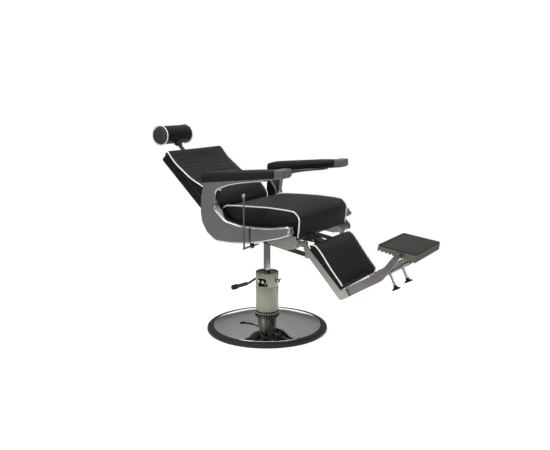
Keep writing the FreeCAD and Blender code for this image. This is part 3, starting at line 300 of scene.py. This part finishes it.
def makeRubber(look):
    material, shader, wire, spot = newMaterial(look["name"], specular=0.35)
    skin = noise(wire, spot, 720.0, 3.0)
    dust = noise(wire, spot, 26.0, 5.0, 0.65)
    shade = ramp(wire, dust, 0.4, 0.8)
    colour = blendColours(wire, shade, look["dark"], look["light"])
    normal = bump(wire, skin, 0.25, 0.0003)
    plug(wire, shader, colour=colour, rough=look["rough"] + shade * 0.15, normal=normal)
    return material


woodLook = {"dark": (0.006, 0.0055, 0.005), "light": (0.014, 0.012, 0.01), "rough": 0.6}


def makeWood(look):
    material, shader, wire, spot = newMaterial("plywoodStained", specular=0.3)
    grain = noise(wire, stretched(wire, spot, (3, 40, 40)), 6.0, 6.0, 0.6)
    shade = ramp(wire, grain, 0.35, 0.68)
    colour = blendColours(wire, shade, look["dark"], look["light"])
    plug(wire, shader, colour=colour, rough=look["rough"], normal=bump(wire, grain, 0.3, 0.0006))
    return material


leather = makeLeather(leatherLook)
leatherEndSheen = makeLeather(rollEndSheenLook)
piping = makePiping(pipingLook)
domeFinish = makeMetal(domeLook)
finishes = {"board": makeWood(woodLook), "leather": leather}
for looks, make in ((metalLooks, makeMetal), (paintLooks, makePaint), (rubberLooks, makeRubber)):
    for slot, look in looks.items():
        finishes[slot] = make(look)

slotOf = {entry["node"]: entry["material_slot"] for entry in frame["record"]["subparts"]}
bodies = frame["record"]["behaviour"]["bodies"]
bodyOf = {node: body for body, nodes in bodies.items() for node in nodes}


def paint(piece, material):
    if piece.material_slots:
        for entry in piece.material_slots:
            entry.material = material
    else:
        piece.data.materials.append(material)


for node, piece in frame["nodes"].items():
    paint(piece, finishes[slotOf[node]])
print("finishes on", len(frame["nodes"]), "nodes")


mergeGap = 0.00005


def copyNode(node, name):
    piece = bpy.data.objects.new(name, frame["nodes"][node].data.copy())
    bpy.context.collection.objects.link(piece)
    piece.data.materials.clear()
    only(piece)
    if piece.data.has_custom_normals:
        bpy.ops.mesh.customdata_custom_splitnormals_clear()
    editing(True)
    bpy.ops.mesh.select_all(action="SELECT")
    bpy.ops.mesh.remove_doubles(threshold=mergeGap)
    editing(False)
    return piece


def twin(piece, spots=None):
    # A copy with its own mesh, laid at other spots if they are given.
    other = piece.copy()
    other.data = piece.data.copy()
    bpy.context.collection.objects.link(other)
    if spots is not None:
        setPoints(other, spots)
    return other


def smooth(piece, angle):
    only(piece)
    bpy.ops.object.shade_smooth_by_angle(angle=math.radians(angle))


def bevelEdges(piece, width, angle=30):
    bevel = piece.modifiers.new("edges", "BEVEL")
    bevel.width = width
    bevel.segments = 2
    bevel.limit_method = "ANGLE"
    bevel.angle_limit = math.radians(angle)
    applyAll(piece)


def fitTo(piece, body, material):
    paint(piece, material)
    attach(piece, body)


def standFor(piece, node, material):
    fitTo(piece, bodyOf[node], material)
    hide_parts(node)


roundPieces = ["base_dome", "base_rim", "pedestal_ring", "pump_sleeve", "pump_collar", "collar_cap",
               "piston_rod", "pump_yoke", "pedal_rubber", "arm_casting_left", "arm_casting_right",
               "foot_crossbar", "stub_feet", "recline_cylinder", "recline_rod", "crank_tube", "lever_knob",
               "recline_lever", "lock_lever", "saddle", "head_post", "push_bar_left", "push_bar_right"]
for node in roundPieces:
    piece = copyNode(node, node + "_finished")
    smooth(piece, 35)
    standFor(piece, node, domeFinish if node == "base_dome" else finishes[slotOf[node]])
print("smoothed", len(roundPieces), "round pieces")


clothLook = {"quality": 4, "mass": 0.25, "stiffness": 25, "bending": 1.5, "frames": 20, "relax": 3,
             "quickRise": 0.003}


def puff(piece, look, hold):
    # Remeshes the pad, blows it up as cloth from slightly under size, and caps how far it swells.
    voxels = piece.modifiers.new("voxels", "REMESH")
    voxels.mode = "VOXEL"
    voxels.voxel_size = look["voxel"]
    applyAll(piece)
    spots, out = points(piece), normals(piece)
    start = spots - out * look["under"] * (1 - hold(spots, out))[:, None]
    setPoints(piece, start)
    blow(piece, look, hold(start, normals(piece)) > 0.5)
    move = points(piece) - start
    far = np.linalg.norm(move, axis=1)
    setPoints(piece, start + move * np.minimum(1, look["cap"] / np.maximum(far, 1e-9))[:, None])
    relax = piece.modifiers.new("relax", "SMOOTH")
    relax.factor = 0.5
    relax.iterations = clothLook["relax"]
    finer = piece.modifiers.new("finer", "SUBSURF")
    finer.levels = finer.render_levels = 1
    applyAll(piece)
    bpy.ops.object.shade_smooth()


def blow(piece, look, fixed):
    held = piece.vertex_groups.new(name="held")
    for index in np.nonzero(fixed)[0]:
        held.add([int(index)], 1.0, "REPLACE")
    cloth = piece.modifiers.new("air", "CLOTH")
    cloth.settings.quality = clothLook["quality"]
    cloth.settings.mass = clothLook["mass"]
    cloth.settings.use_pressure = True
    cloth.settings.uniform_pressure_force = look["pressure"]
    cloth.settings.vertex_group_mass = "held"
    cloth.settings.effector_weights.gravity = 0
    cloth.settings.tension_stiffness = clothLook["stiffness"]
    cloth.settings.compression_stiffness = clothLook["stiffness"]
    cloth.settings.bending_stiffness = clothLook["bending"]
    cloth.collision_settings.use_collision = False
    for moment in range(1, clothLook["frames"] + 1):
        bpy.context.scene.frame_set(moment)
    blown = points(piece.evaluated_get(bpy.context.evaluated_depsgraph_get()))
    piece.modifiers.remove(cloth)
    bpy.context.scene.frame_set(1)
    setPoints(piece, blown)


def seamRing(spots, out, half):
    # The piped seams keep their place, as the sewn edges of a boxed cushion do.
    return (np.abs(spots[:, 0]) > half - 0.0075) & (np.abs(out[:, 0]) < 0.965)


def crease(distance, width):
    return np.exp(-(distance / width) ** 2)


def ribs(offset, pitch):
    # Rises as a row of rounded rolls: 0 in each channel, 1 on each crest.
    phase = np.abs((offset / pitch + 0.5) % 1.0 - 0.5) * 2
    return np.sqrt(np.clip(1 - (1 - phase) ** 2, 0, 1))


def fade(value, start, end):
    step = np.clip((value - start) / (end - start), 0, 1)
    return step * step * (3 - 2 * step)


def cordFrom(line, name, radius, material, body):
    # Turns a row of edges into a round cord that rides on a body.
    only(line)
    bpy.ops.object.convert(target="CURVE")
    line = bpy.context.object
    line.data.bevel_depth = radius
    line.data.bevel_resolution = 3
    line.data.use_fill_caps = True
    bpy.ops.object.convert(target="MESH")
    line = bpy.context.object
    line.name = name
    line.data.materials.clear()
    bpy.ops.object.shade_smooth()
    fitTo(line, body, material)
    return line


weltLook = {"merge": 0.002, "out": 0.003}


def weltAt(piece, x, keep, radius, name, body):
    # A round cord laid on the pad where the plane at x cuts it; keep says which of the cut's points stay.
    line = twin(piece)
    line.name = name
    only(line)
    editing(True)
    bpy.ops.mesh.select_all(action="SELECT")
    bpy.ops.mesh.bisect(plane_co=(x, 0, 0), plane_no=(1, 0, 0), clear_inner=True, clear_outer=True)
    bpy.ops.mesh.select_all(action="SELECT")
    bpy.ops.mesh.delete(type="ONLY_FACE")
    editing(False)
    stay = keep(points(line))
    editing(True)
    bpy.ops.mesh.select_mode(type="VERT")
    bpy.ops.mesh.select_all(action="DESELECT")
    editing(False)
    line.data.vertices.foreach_set("select", ~stay)
    editing(True)
    bpy.ops.mesh.delete(type="VERT")
    bpy.ops.mesh.select_all(action="SELECT")
    bpy.ops.mesh.remove_doubles(threshold=weltLook["merge"])
    bpy.ops.mesh.vertices_smooth(factor=0.5, repeat=8)
    editing(False)
    line = cordFrom(line, name, radius, piping, body)
    spots = points(line)
    spots[:, 0] += weltLook["out"] * np.sign(x)
    setPoints(line, spots)


def pipeSeams(pad, half, look, keep, name, body):
    for side, hand in hands:
        weltAt(pad, side * (half - look["seam"]), keep, look["welt"], name + "_" + hand, body)


def backFrame(spots):
    # Along the back (s) and forward of its rear face (n), as the drawings measure them.
    forward, height = -spots[:, 1] - backHinge[0], spots[:, 2] - backHinge[1]
    s = -forward * math.sin(backLean) + height * math.cos(backLean)
    n = forward * math.cos(backLean) + height * math.sin(backLean) + backRear
    return s, n


def legFrame(spots):
    forward, height = -spots[:, 1] - legHinge[0], spots[:, 2] - legHinge[1]
    s = forward * math.sin(legSlope) - height * math.cos(legSlope)
    w = forward * math.cos(legSlope) + height * math.sin(legSlope)
    return s, w


backOut = np.array([0, -math.cos(backLean), math.sin(backLean)])
backUp = np.array([0, math.sin(backLean), math.cos(backLean)])
legOut = np.array([0, -math.cos(legSlope), math.sin(legSlope)])


seatLook = {"voxel": 0.0062, "under": 0.004, "pressure": 4.0, "cap": 0.011,
            "seam": 0.0065, "seamDepth": 0.0028, "welt": 0.0036, "crown": 0.004}


def makeSeat():
    pad = copyNode("seat_cushion", "seatCushion")
    low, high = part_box("seat_cushion")
    half = high[0]

    def hold(spots, out):
        under = (out[:, 2] < -0.6) | (spots[:, 2] < low[2] + 0.012) | (spots[:, 1] > high[1] - 0.004)
        return (under | seamRing(spots, out, half)).astype(float)

    def piped(spots):
        # Over the top and down the front; the rear and the underside have no piping.
        top = (spots[:, 2] > low[2] + 0.11) & (spots[:, 1] < high[1] - 0.006)
        front = (spots[:, 1] < low[1] + 0.028) & (spots[:, 2] > low[2] + 0.008)
        return top | front

    puff(pad, seatLook, hold)
    pipeSeams(pad, half, seatLook, piped, "seatPiping", "seat_frame")
    spots, out = points(pad), normals(pad)
    seam = np.abs(np.abs(spots[:, 0]) - (half - seatLook["seam"]))
    edge = crease(seam, 0.006) * (out[:, 2] > -0.3)
    spots -= out * (edge * seatLook["seamDepth"])[:, None]
    middle = fade(half - np.abs(spots[:, 0]), 0.0, 0.2) * fade(out[:, 2], 0.5, 0.95)
    spots[:, 2] += middle * seatLook["crown"]
    setPoints(pad, spots)
    standFor(pad, "seat_cushion", leather)


backLook = {"voxel": 0.0056, "under": 0.004, "pressure": 4.0, "cap": 0.009,
            "seam": 0.0065, "seamDepth": 0.0026, "welt": 0.0034, "tuck": 0.004, "topping": 0.005,
            "pitch": 0.0262, "ribDepth": 0.0042, "ribLow": 0.02, "ribHigh": 0.235, "foldDepth": 0.0045}


def makeBack():
    pad = copyNode("back_cushion", "backCushion")
    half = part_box("back_cushion")[1][0]
    spots = points(pad)
    s, n = backFrame(spots)
    spots -= backOut * ((n < 0.036) * backLook["tuck"])[:, None]
    spots += backUp * ((s > 0.44) * backLook["topping"])[:, None]
    setPoints(pad, spots)

    def hold(spots, out):
        return ((backFrame(spots)[1] < 0.036) | seamRing(spots, out, half)).astype(float)

    def piped(spots):
        s, n = backFrame(spots)
        return (n > 0.047) & (s < 0.458) & (s > 0.02)

    puff(pad, backLook, hold)
    pipeSeams(pad, half, backLook, piped, "backPiping", "backrest")
    spots, out = points(pad), normals(pad)
    s, n = backFrame(spots)
    facing = fade(out @ backOut, 0.35, 0.8)
    seam = np.abs(np.abs(spots[:, 0]) - (half - backLook["seam"]))
    edge = crease(seam, 0.006) * (n > 0.042)
    spots -= out * (edge * backLook["seamDepth"])[:, None]
    inside = fade(half - 0.028 - np.abs(spots[:, 0]), 0.0, 0.006)
    ribLow, ribHigh = backLook["ribLow"], backLook["ribHigh"]
    panel = inside * facing * fade(s, ribLow, ribLow + 0.015) * (1 - fade(s, ribHigh - 0.02, ribHigh))
    channels = panel * (1 - ribs(spots[:, 0], backLook["pitch"]))
    spots -= backOut * (channels * backLook["ribDepth"])[:, None]
    across = crease(s - ribHigh, 0.005) * facing * (np.abs(spots[:, 0]) < half - 0.004)
    spots -= backOut * (across * backLook["foldDepth"])[:, None]
    setPoints(pad, spots)
    standFor(pad, "back_cushion", leather)


legLook = {"voxel": 0.005, "under": 0.0035, "pressure": 4.0, "cap": 0.007,
           "seam": 0.0065, "seamDepth": 0.0024, "welt": 0.0033,
           "pitch": 0.0262, "ribDepth": 0.0042, "ribLow": 0.045, "ribHigh": 0.274}


def makeLegPad():
    pad = copyNode("legrest_cushion", "legrestCushion")
    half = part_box("legrest_cushion")[1][0]

    def hold(spots, out):
        return ((legFrame(spots)[1] < 0.0155) | seamRing(spots, out, half)).astype(float)

    def piped(spots):
        return legFrame(spots)[1] > 0.0165

    puff(pad, legLook, hold)
    pipeSeams(pad, half, legLook, piped, "legrestPiping", "legrest")
    spots, out = points(pad), normals(pad)
    s, w = legFrame(spots)
    facing = fade(out @ legOut, 0.3, 0.75)
    seam = np.abs(np.abs(spots[:, 0]) - (half - legLook["seam"]))
    spots -= out * (crease(seam, 0.006) * (w > 0.014) * legLook["seamDepth"])[:, None]
    inside = fade(half - 0.022 - np.abs(spots[:, 0]), 0.0, 0.006)
    ribLow, ribHigh = legLook["ribLow"], legLook["ribHigh"]
    panel = inside * facing * fade(s, ribLow, ribLow + 0.015) * (1 - fade(s, ribHigh - 0.012, ribHigh))
    channels = panel * (1 - ribs(spots[:, 0], legLook["pitch"]))
    spots -= legOut * (channels * legLook["ribDepth"])[:, None]
    setPoints(pad, spots)
    standFor(pad, "legrest_cushion", leather)


armLook = {"voxel": 0.005, "under": 0.003, "pressure": 3.5, "cap": 0.006,
           "seamRise": 0.012, "seamDepth": 0.002}


def makeArmPad(hand):
    node = "arm_pad_" + hand
    pad = copyNode(node, "armPad_" + hand)
    low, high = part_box(node)

    def hold(spots, out):
        return ((out[:, 2] < -0.6) | (spots[:, 1] < low[1] + 0.008)).astype(float)

    puff(pad, armLook, hold)
    spots, out = points(pad), normals(pad)
    line = spots[:, 2] + spots[:, 1] * math.tan(armSlope)
    base = np.percentile(line, 4)
    seam = crease(line - (base + armLook["seamRise"]), 0.0035) * (np.abs(out[:, 2]) < 0.6)
    spots -= out * (seam * armLook["seamDepth"])[:, None]
    setPoints(pad, spots)
    standFor(pad, node, leather)


rollLook = {"voxel": 0.004, "under": 0.003, "pressure": 4.0, "cap": 0.006, "welt": 0.003,
            "seam": 0.006, "seamDepth": 0.003, "dome": 0.003}


def makeHeadRoll():
    pad = copyNode("head_roll", "headRoll")
    low, high = (Vector(corner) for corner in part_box("head_roll"))
    middle = (low + high) / 2
    radius = (high[2] - low[2]) / 2
    puff(pad, rollLook, lambda spots, out: np.zeros(len(spots)))
    spots, out = points(pad), normals(pad)
    away = np.hypot(spots[:, 1] - middle[1], spots[:, 2] - middle[2])
    end = np.abs(spots[:, 0]) > high[0] - 0.012
    seam = crease(np.abs(spots[:, 0]) - (high[0] - rollLook["seam"]), 0.0035) * (away > radius * 0.8)
    spots -= out * (seam * rollLook["seamDepth"])[:, None]
    dome = np.clip(1 - (away / radius) ** 2, 0, 1) * (np.abs(out[:, 0]) > 0.6) * end
    spots[:, 0] += np.sign(spots[:, 0]) * dome * rollLook["dome"]
    setPoints(pad, spots)
    standFor(pad, "head_roll", leather)
    # the end faces take the lighter copy of the leather: painted sheen
    pad.data.materials.append(leatherEndSheen)
    reach = np.array([abs(face.center[0]) for face in pad.data.polygons])
    facing = np.array([abs(face.normal[0]) for face in pad.data.polygons])
    ends = (reach > high[0] - 0.0085) & (facing > 0.35)
    pad.data.polygons.foreach_set("material_index", ends.astype(np.int32))
    for side, hand in hands:
        bpy.ops.object.select_all(action="DESELECT")
        spot = (side * (high[0] - rollLook["seam"]), middle[1], middle[2])
        bpy.ops.mesh.primitive_torus_add(major_segments=96, minor_segments=12, major_radius=radius - 0.0005,
                                         minor_radius=rollLook["welt"], location=spot,
                                         rotation=(0, math.pi / 2, 0))
        ring = bpy.context.object
        ring.name = "rollPiping_" + hand
        settle(ring)
        bpy.ops.object.shade_smooth()
        fitTo(ring, "head_roll", piping)


makeSeat()
print("seat cushion done")
makeBack()
print("back cushion done")
makeLegPad()
for hand in ("left", "right"):
    makeArmPad(hand)
makeHeadRoll()
print("legrest, arm and head pads done")


shellLook = {"edge": 0.006, "low": 0.05}


def makeShell():
    # The pan's rear side edges are rounded, as leather drawn round them is.
    shell = copyNode("back_shell", "backShell")
    editing(True)
    bpy.ops.mesh.select_all(action="SELECT")
    bpy.ops.mesh.dissolve_limited(angle_limit=math.radians(1))
    bpy.ops.mesh.select_all(action="DESELECT")
    editing(False)
    spots = points(shell)
    s, n = backFrame(spots)
    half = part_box("back_shell")[1][0]
    rear = (np.abs(spots[:, 0]) > half - 0.001) & (n < 0.012) & (s > shellLook["low"])
    chosen = []
    for edge in shell.data.edges:
        a, b = edge.vertices
        chosen.append(bool(rear[a] and rear[b] and abs(s[a] - s[b]) > 0.05))
    shell.data.edges.foreach_set("select", chosen)
    editing(True)
    bpy.ops.mesh.select_mode(type="EDGE")
    bpy.ops.mesh.bevel(offset=shellLook["edge"], segments=4)
    editing(False)
    smooth(shell, 40)
    standFor(shell, "back_shell", leather)


def backSpot(s, n, x):
    forward = backHinge[0] - s * math.sin(backLean) + (n - backRear) * math.cos(backLean)
    height = backHinge[1] + s * math.cos(backLean) + (n - backRear) * math.sin(backLean)
    return place(x, forward, height)


# bottom and top lie along the back from its hinge, and the pan's rear face tapers between them
panelLook = {"inset": 0.026, "bottom": 0.044, "top": 0.455, "thick": 0.0022, "crown": 0.001, "sunk": 0.0004,
             "corner": 0.9, "pull": 0.25, "taper": 0.002, "taperFrom": 0.012, "taperOver": 0.443,
             "welt": 0.0024}


def makeRearPanel():
    # A thin padded panel on the pan's back, with a black welt round it.
    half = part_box("back_shell")[1][0] - panelLook["inset"]
    bottom, top = panelLook["bottom"], panelLook["top"] - panelLook["inset"]
    bpy.ops.object.select_all(action="DESELECT")
    bpy.ops.mesh.primitive_grid_add(x_subdivisions=40, y_subdivisions=40, size=2)
    panel = bpy.context.object
    panel.name = "rearPanel"
    spots = points(panel)
    u, v = spots[:, 0].copy(), spots[:, 1].copy()
    pull = np.clip(np.abs(u) + np.abs(v) - 2 * panelLook["corner"], 0, 1) * panelLook["pull"]
    u, v = u - np.sign(u) * pull, v - np.sign(v) * pull
    rise = (1 - u ** 4) * (1 - v ** 4)
    for index, (across, along, lift) in enumerate(zip(u, v, rise)):
        s = (bottom + top) / 2 + along * (top - bottom) / 2
        face = panelLook["taper"] * (1 - (s - panelLook["taperFrom"]) / panelLook["taperOver"])
        spots[index] = backSpot(s, face - panelLook["sunk"] - panelLook["crown"] * lift, across * half)
    setPoints(panel, spots)
    line = twin(panel)
    only(panel)
    thick = panel.modifiers.new("thick", "SOLIDIFY")
    thick.thickness = panelLook["thick"]
    thick.offset = 0
    finer = panel.modifiers.new("finer", "SUBSURF")
    finer.levels = finer.render_levels = 1
    applyAll(panel)
    editing(True)
    bpy.ops.mesh.select_all(action="SELECT")
    bpy.ops.mesh.normals_make_consistent(inside=False)
    editing(False)
    bpy.ops.object.shade_smooth()
    fitTo(panel, "backrest", leather)
    only(line)
    editing(True)
    bpy.ops.mesh.select_mode(type="FACE")
    bpy.ops.mesh.select_all(action="SELECT")
    bpy.ops.mesh.region_to_loop()
    bpy.ops.mesh.select_all(action="INVERT")
    bpy.ops.mesh.delete(type="EDGE_FACE")
    editing(False)
    cordFrom(line, "rearWelt", panelLook["welt"], finishes["rubber"], "backrest")


# each step of the cap is its share of the rise and how much it shrinks
screwLook = {"radius": 0.0105, "depth": 0.004, "stand": 0.0012, "spot": (0.3235, 0.6135), "rim": 0.0022,
             "rise": 0.0055, "steps": ((0.4, 0.86), (0.32, 0.72), (0.2, 0.5), (0.08, 0.15)), "edge": 0.0005}


def makeArmScrew(side, hand):
    # A domed cap screw on the outer face of each casting's front end.
    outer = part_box("arm_casting_left")[1][0]
    spot = place(side * (outer + screwLook["stand"]), *screwLook["spot"])
    bpy.ops.object.select_all(action="DESELECT")
    bpy.ops.mesh.primitive_cylinder_add(vertices=48, radius=screwLook["radius"], depth=screwLook["depth"],
                                        location=spot, rotation=(0, math.pi / 2, 0))
    screw = bpy.context.object
    screw.name = "armScrew_" + hand
    settle(screw)
    editing(True)
    bpy.ops.mesh.select_mode(type="FACE")
    bpy.ops.mesh.select_all(action="DESELECT")
    editing(False)
    for face in screw.data.polygons:
        face.select = face.normal[0] * side > 0.9
    editing(True)
    bpy.ops.mesh.inset(thickness=screwLook["rim"])
    for share, shrink in screwLook["steps"]:
        out = side * screwLook["rise"] * share
        bpy.ops.mesh.extrude_region_move(TRANSFORM_OT_translate={"value": (out, 0, 0)})
        bpy.ops.transform.resize(value=(1, shrink, shrink), center_override=tuple(spot))
    editing(False)
    bevelEdges(screw, screwLook["edge"])
    smooth(screw, 40)
    fitTo(screw, "seat_frame", finishes["chrome"])


fluteLook = {"count": 30, "width": 0.0052, "depth": 0.0032, "height": 0.0135, "sunk": 0.0012, "drop": 0.001,
             "edge": 0.0012}


def makeFlutes():
    # Upright ribs round the foot of the column, modelled once and copied round.
    low, high = (Vector(corner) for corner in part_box("pedestal_ring"))
    spot = (high[0] - fluteLook["sunk"], 0, (low[2] + high[2]) / 2 - fluteLook["drop"])
    bpy.ops.object.select_all(action="DESELECT")
    bpy.ops.mesh.primitive_cube_add(size=1, location=spot)
    rib = bpy.context.object
    rib.name = "columnFlutes"
    rib.scale = (fluteLook["depth"], fluteLook["width"], fluteLook["height"])
    settle(rib)
    bevelEdges(rib, fluteLook["edge"])
    shape = points(rib)
    row = [rib]
    for turn in range(1, fluteLook["count"]):
        angle = 2 * math.pi * turn / fluteLook["count"]
        turned = shape.copy()
        turned[:, 0] = shape[:, 0] * math.cos(angle) - shape[:, 1] * math.sin(angle)
        turned[:, 1] = shape[:, 0] * math.sin(angle) + shape[:, 1] * math.cos(angle)
        row.append(twin(rib, turned))
    only(*row)
    bpy.ops.object.join()
    smooth(rib, 40)
    fitTo(rib, "base", finishes["chrome"])


padLook = {"border": 0.0085, "sink": 0.0014, "edge": 0.0008, "tilt": math.radians(7.66)}


def makeFootPad():
    # The rubber's middle lies a little lower than the border moulded round it.
    pad = copyNode("foot_pad", "footPad")
    up = Vector((0, math.sin(padLook["tilt"]), math.cos(padLook["tilt"])))
    editing(True)
    bpy.ops.mesh.select_mode(type="FACE")
    bpy.ops.mesh.select_all(action="SELECT")
    bpy.ops.mesh.dissolve_limited(angle_limit=math.radians(1))
    bpy.ops.mesh.select_all(action="DESELECT")
    editing(False)
    level = [face for face in pad.data.polygons if abs(face.normal.dot(up)) > 0.99]
    top = max(level, key=lambda face: face.center.dot(up))
    up = Vector(top.normal)
    top.select = True
    editing(True)
    bpy.ops.mesh.inset(thickness=padLook["border"])
    bpy.ops.mesh.extrude_region_move(TRANSFORM_OT_translate={"value": tuple(-up * padLook["sink"])})
    editing(False)
    bevelEdges(pad, padLook["edge"], 40)
    smooth(pad, 35)
    standFor(pad, "foot_pad", finishes["tread_rubber"])


studLook = {"count": 13, "first": 0.052, "pitch": 0.0148, "length": 0.0068, "width": 0.0088, "rise": 0.0024,
            "armWidth": 0.010, "slope": math.radians(31.2), "straight": 0.12, "stand": 0.0002, "edge": 0.0009}


def makeArmStuds():
    # Low studs in a row along the upper edge of each foot arm, modelled once and copied along.
    angle = studLook["slope"]
    mesh = points(frame["nodes"]["foot_arms"])
    along = -mesh[:, 1] * math.cos(angle) + mesh[:, 2] * math.sin(angle)
    above = mesh[:, 1] * math.sin(angle) + mesh[:, 2] * math.cos(angle)
    root = along.min()
    top = above[along < root + studLook["straight"]].max() + studLook["stand"]
    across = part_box("foot_arms")[1][0] - studLook["armWidth"] / 2

    def studSpot(side, index):
        a = root + studLook["first"] + index * studLook["pitch"]
        forward = a * math.cos(angle) - top * math.sin(angle)
        height = a * math.sin(angle) + top * math.cos(angle)
        return place(side * across, forward, height)

    start = studSpot(-1, 0)
    bpy.ops.object.select_all(action="DESELECT")
    bpy.ops.mesh.primitive_cube_add(size=1, location=start, rotation=(-angle, 0, 0))
    stud = bpy.context.object
    stud.scale = (studLook["width"], studLook["length"], studLook["rise"] * 2)
    settle(stud)
    shape = points(stud)
    rows = [[twin(stud, shape + (studSpot(side, index) - start)) for index in range(studLook["count"])]
            for side, hand in hands]
    bpy.data.objects.remove(stud)
    for (side, hand), row in zip(hands, rows):
        only(*row)
        bpy.ops.object.join()
        row[0].name = "footArmStuds_" + hand
        bevelEdges(row[0], studLook["edge"])
        smooth(row[0], 40)
        fitTo(row[0], "legrest", finishes["arm_metal"])


makeShell()
makeRearPanel()
for side, hand in hands:
    makeArmScrew(side, hand)
makeFlutes()
makeFootPad()
makeArmStuds()
print("shell, screws and studs done")


studio = {"floor": 0.7, "glow": 0.62, "reach": 1.35,
          "camera": (-3.121, -1.921, 1.253), "aim": (0.843, 0.5055, -0.1835), "lens": 46.04,
          "world": [(0.0, 0.34), (0.46, 0.3), (0.54, 0.16), (0.66, 0.42), (1.0, 0.8)]}
lamps = {
    "topLight": {"spot": (-0.4, -0.2, 3.4), "aim": (0, 0, 0.5), "size": (3.0, 2.4), "power": 65},
    "sideLight": {"spot": (-3.2, 0.9, 1.9), "aim": (0, 0, 0.6), "size": (1.6, 2.2), "power": 32},
    "frontLight": {"spot": (-0.6, -3.6, 2.2), "aim": (0, 0, 0.6), "size": (2.0, 1.6), "power": 36},
    "backLight": {"spot": (1.8, 2.6, 2.4), "aim": (0, 0, 0.8), "size": (1.6, 1.6), "power": 30},
}


def makeFloor():
    bpy.ops.object.select_all(action="DESELECT")
    bpy.ops.mesh.primitive_circle_add(vertices=128, radius=studio["reach"], fill_type="NGON",
                                      location=(0, -0.1, -0.0005))
    floor = bpy.context.object
    floor.name = "studioFloor"
    material, shader, wire, spot = newMaterial("floorWhite", specular=0.1)
    plug(wire, shader, colour=(studio["floor"],) * 3 + (1,), rough=0.9)
    shader.inputs["Emission Color"].default_value = (1, 1, 1, 1)
    shader.inputs["Emission Strength"].default_value = studio["glow"]
    paint(floor, material)


def makeWorld():
    # The camera sees white, and the metal reflects a dark horizon under a lighter sky.
    world = bpy.data.worlds.new("studioWorld")
    bpy.context.scene.world = world
    world.use_nodes = True
    wire = Wire(world.node_tree)
    ray = wire.node("TexCoord", out=0)
    height = wire.node("SeparateXYZ", None, {0: ray}, out=2)
    grade = wire.node("ValToRGB", {"stops": studio["world"]}, {0: height * 0.5 + 0.5})
    seen = wire.node("LightPath", out=0)
    colour = wire.node("Mix", {"data_type": "RGBA"}, {"Factor": seen, 6: grade, 7: (1, 1, 1, 1)}, out=2)
    background = world.node_tree.nodes["Background"]
    world.node_tree.links.new(colour.socket, background.inputs["Color"])
    background.inputs["Strength"].default_value = 1.0


def makeLamp(name, look):
    data = bpy.data.lights.new(name, "AREA")
    data.shape = "RECTANGLE"
    data.size, data.size_y = look["size"]
    data.energy = look["power"]
    light = bpy.data.objects.new(name, data)
    bpy.context.collection.objects.link(light)
    light.location = look["spot"]
    light.visible_glossy = name != "backLight"   # it would show in the dome
    light.rotation_euler = (Vector(look["aim"]) - Vector(look["spot"])).to_track_quat("-Z", "Y").to_euler()


def makeCamera():
    camera = bpy.data.objects.new("camera", bpy.data.cameras.new("camera"))
    bpy.context.collection.objects.link(camera)
    camera.location = studio["camera"]
    camera.rotation_euler = Vector(studio["aim"]).to_track_quat("-Z", "Y").to_euler()
    camera.data.lens = studio["lens"]
    bpy.context.scene.camera = camera
    bpy.context.scene.view_settings.view_transform = "Standard"


makeFloor()
makeWorld()
for name, look in lamps.items():
    makeLamp(name, look)
makeCamera()
print("studio done")
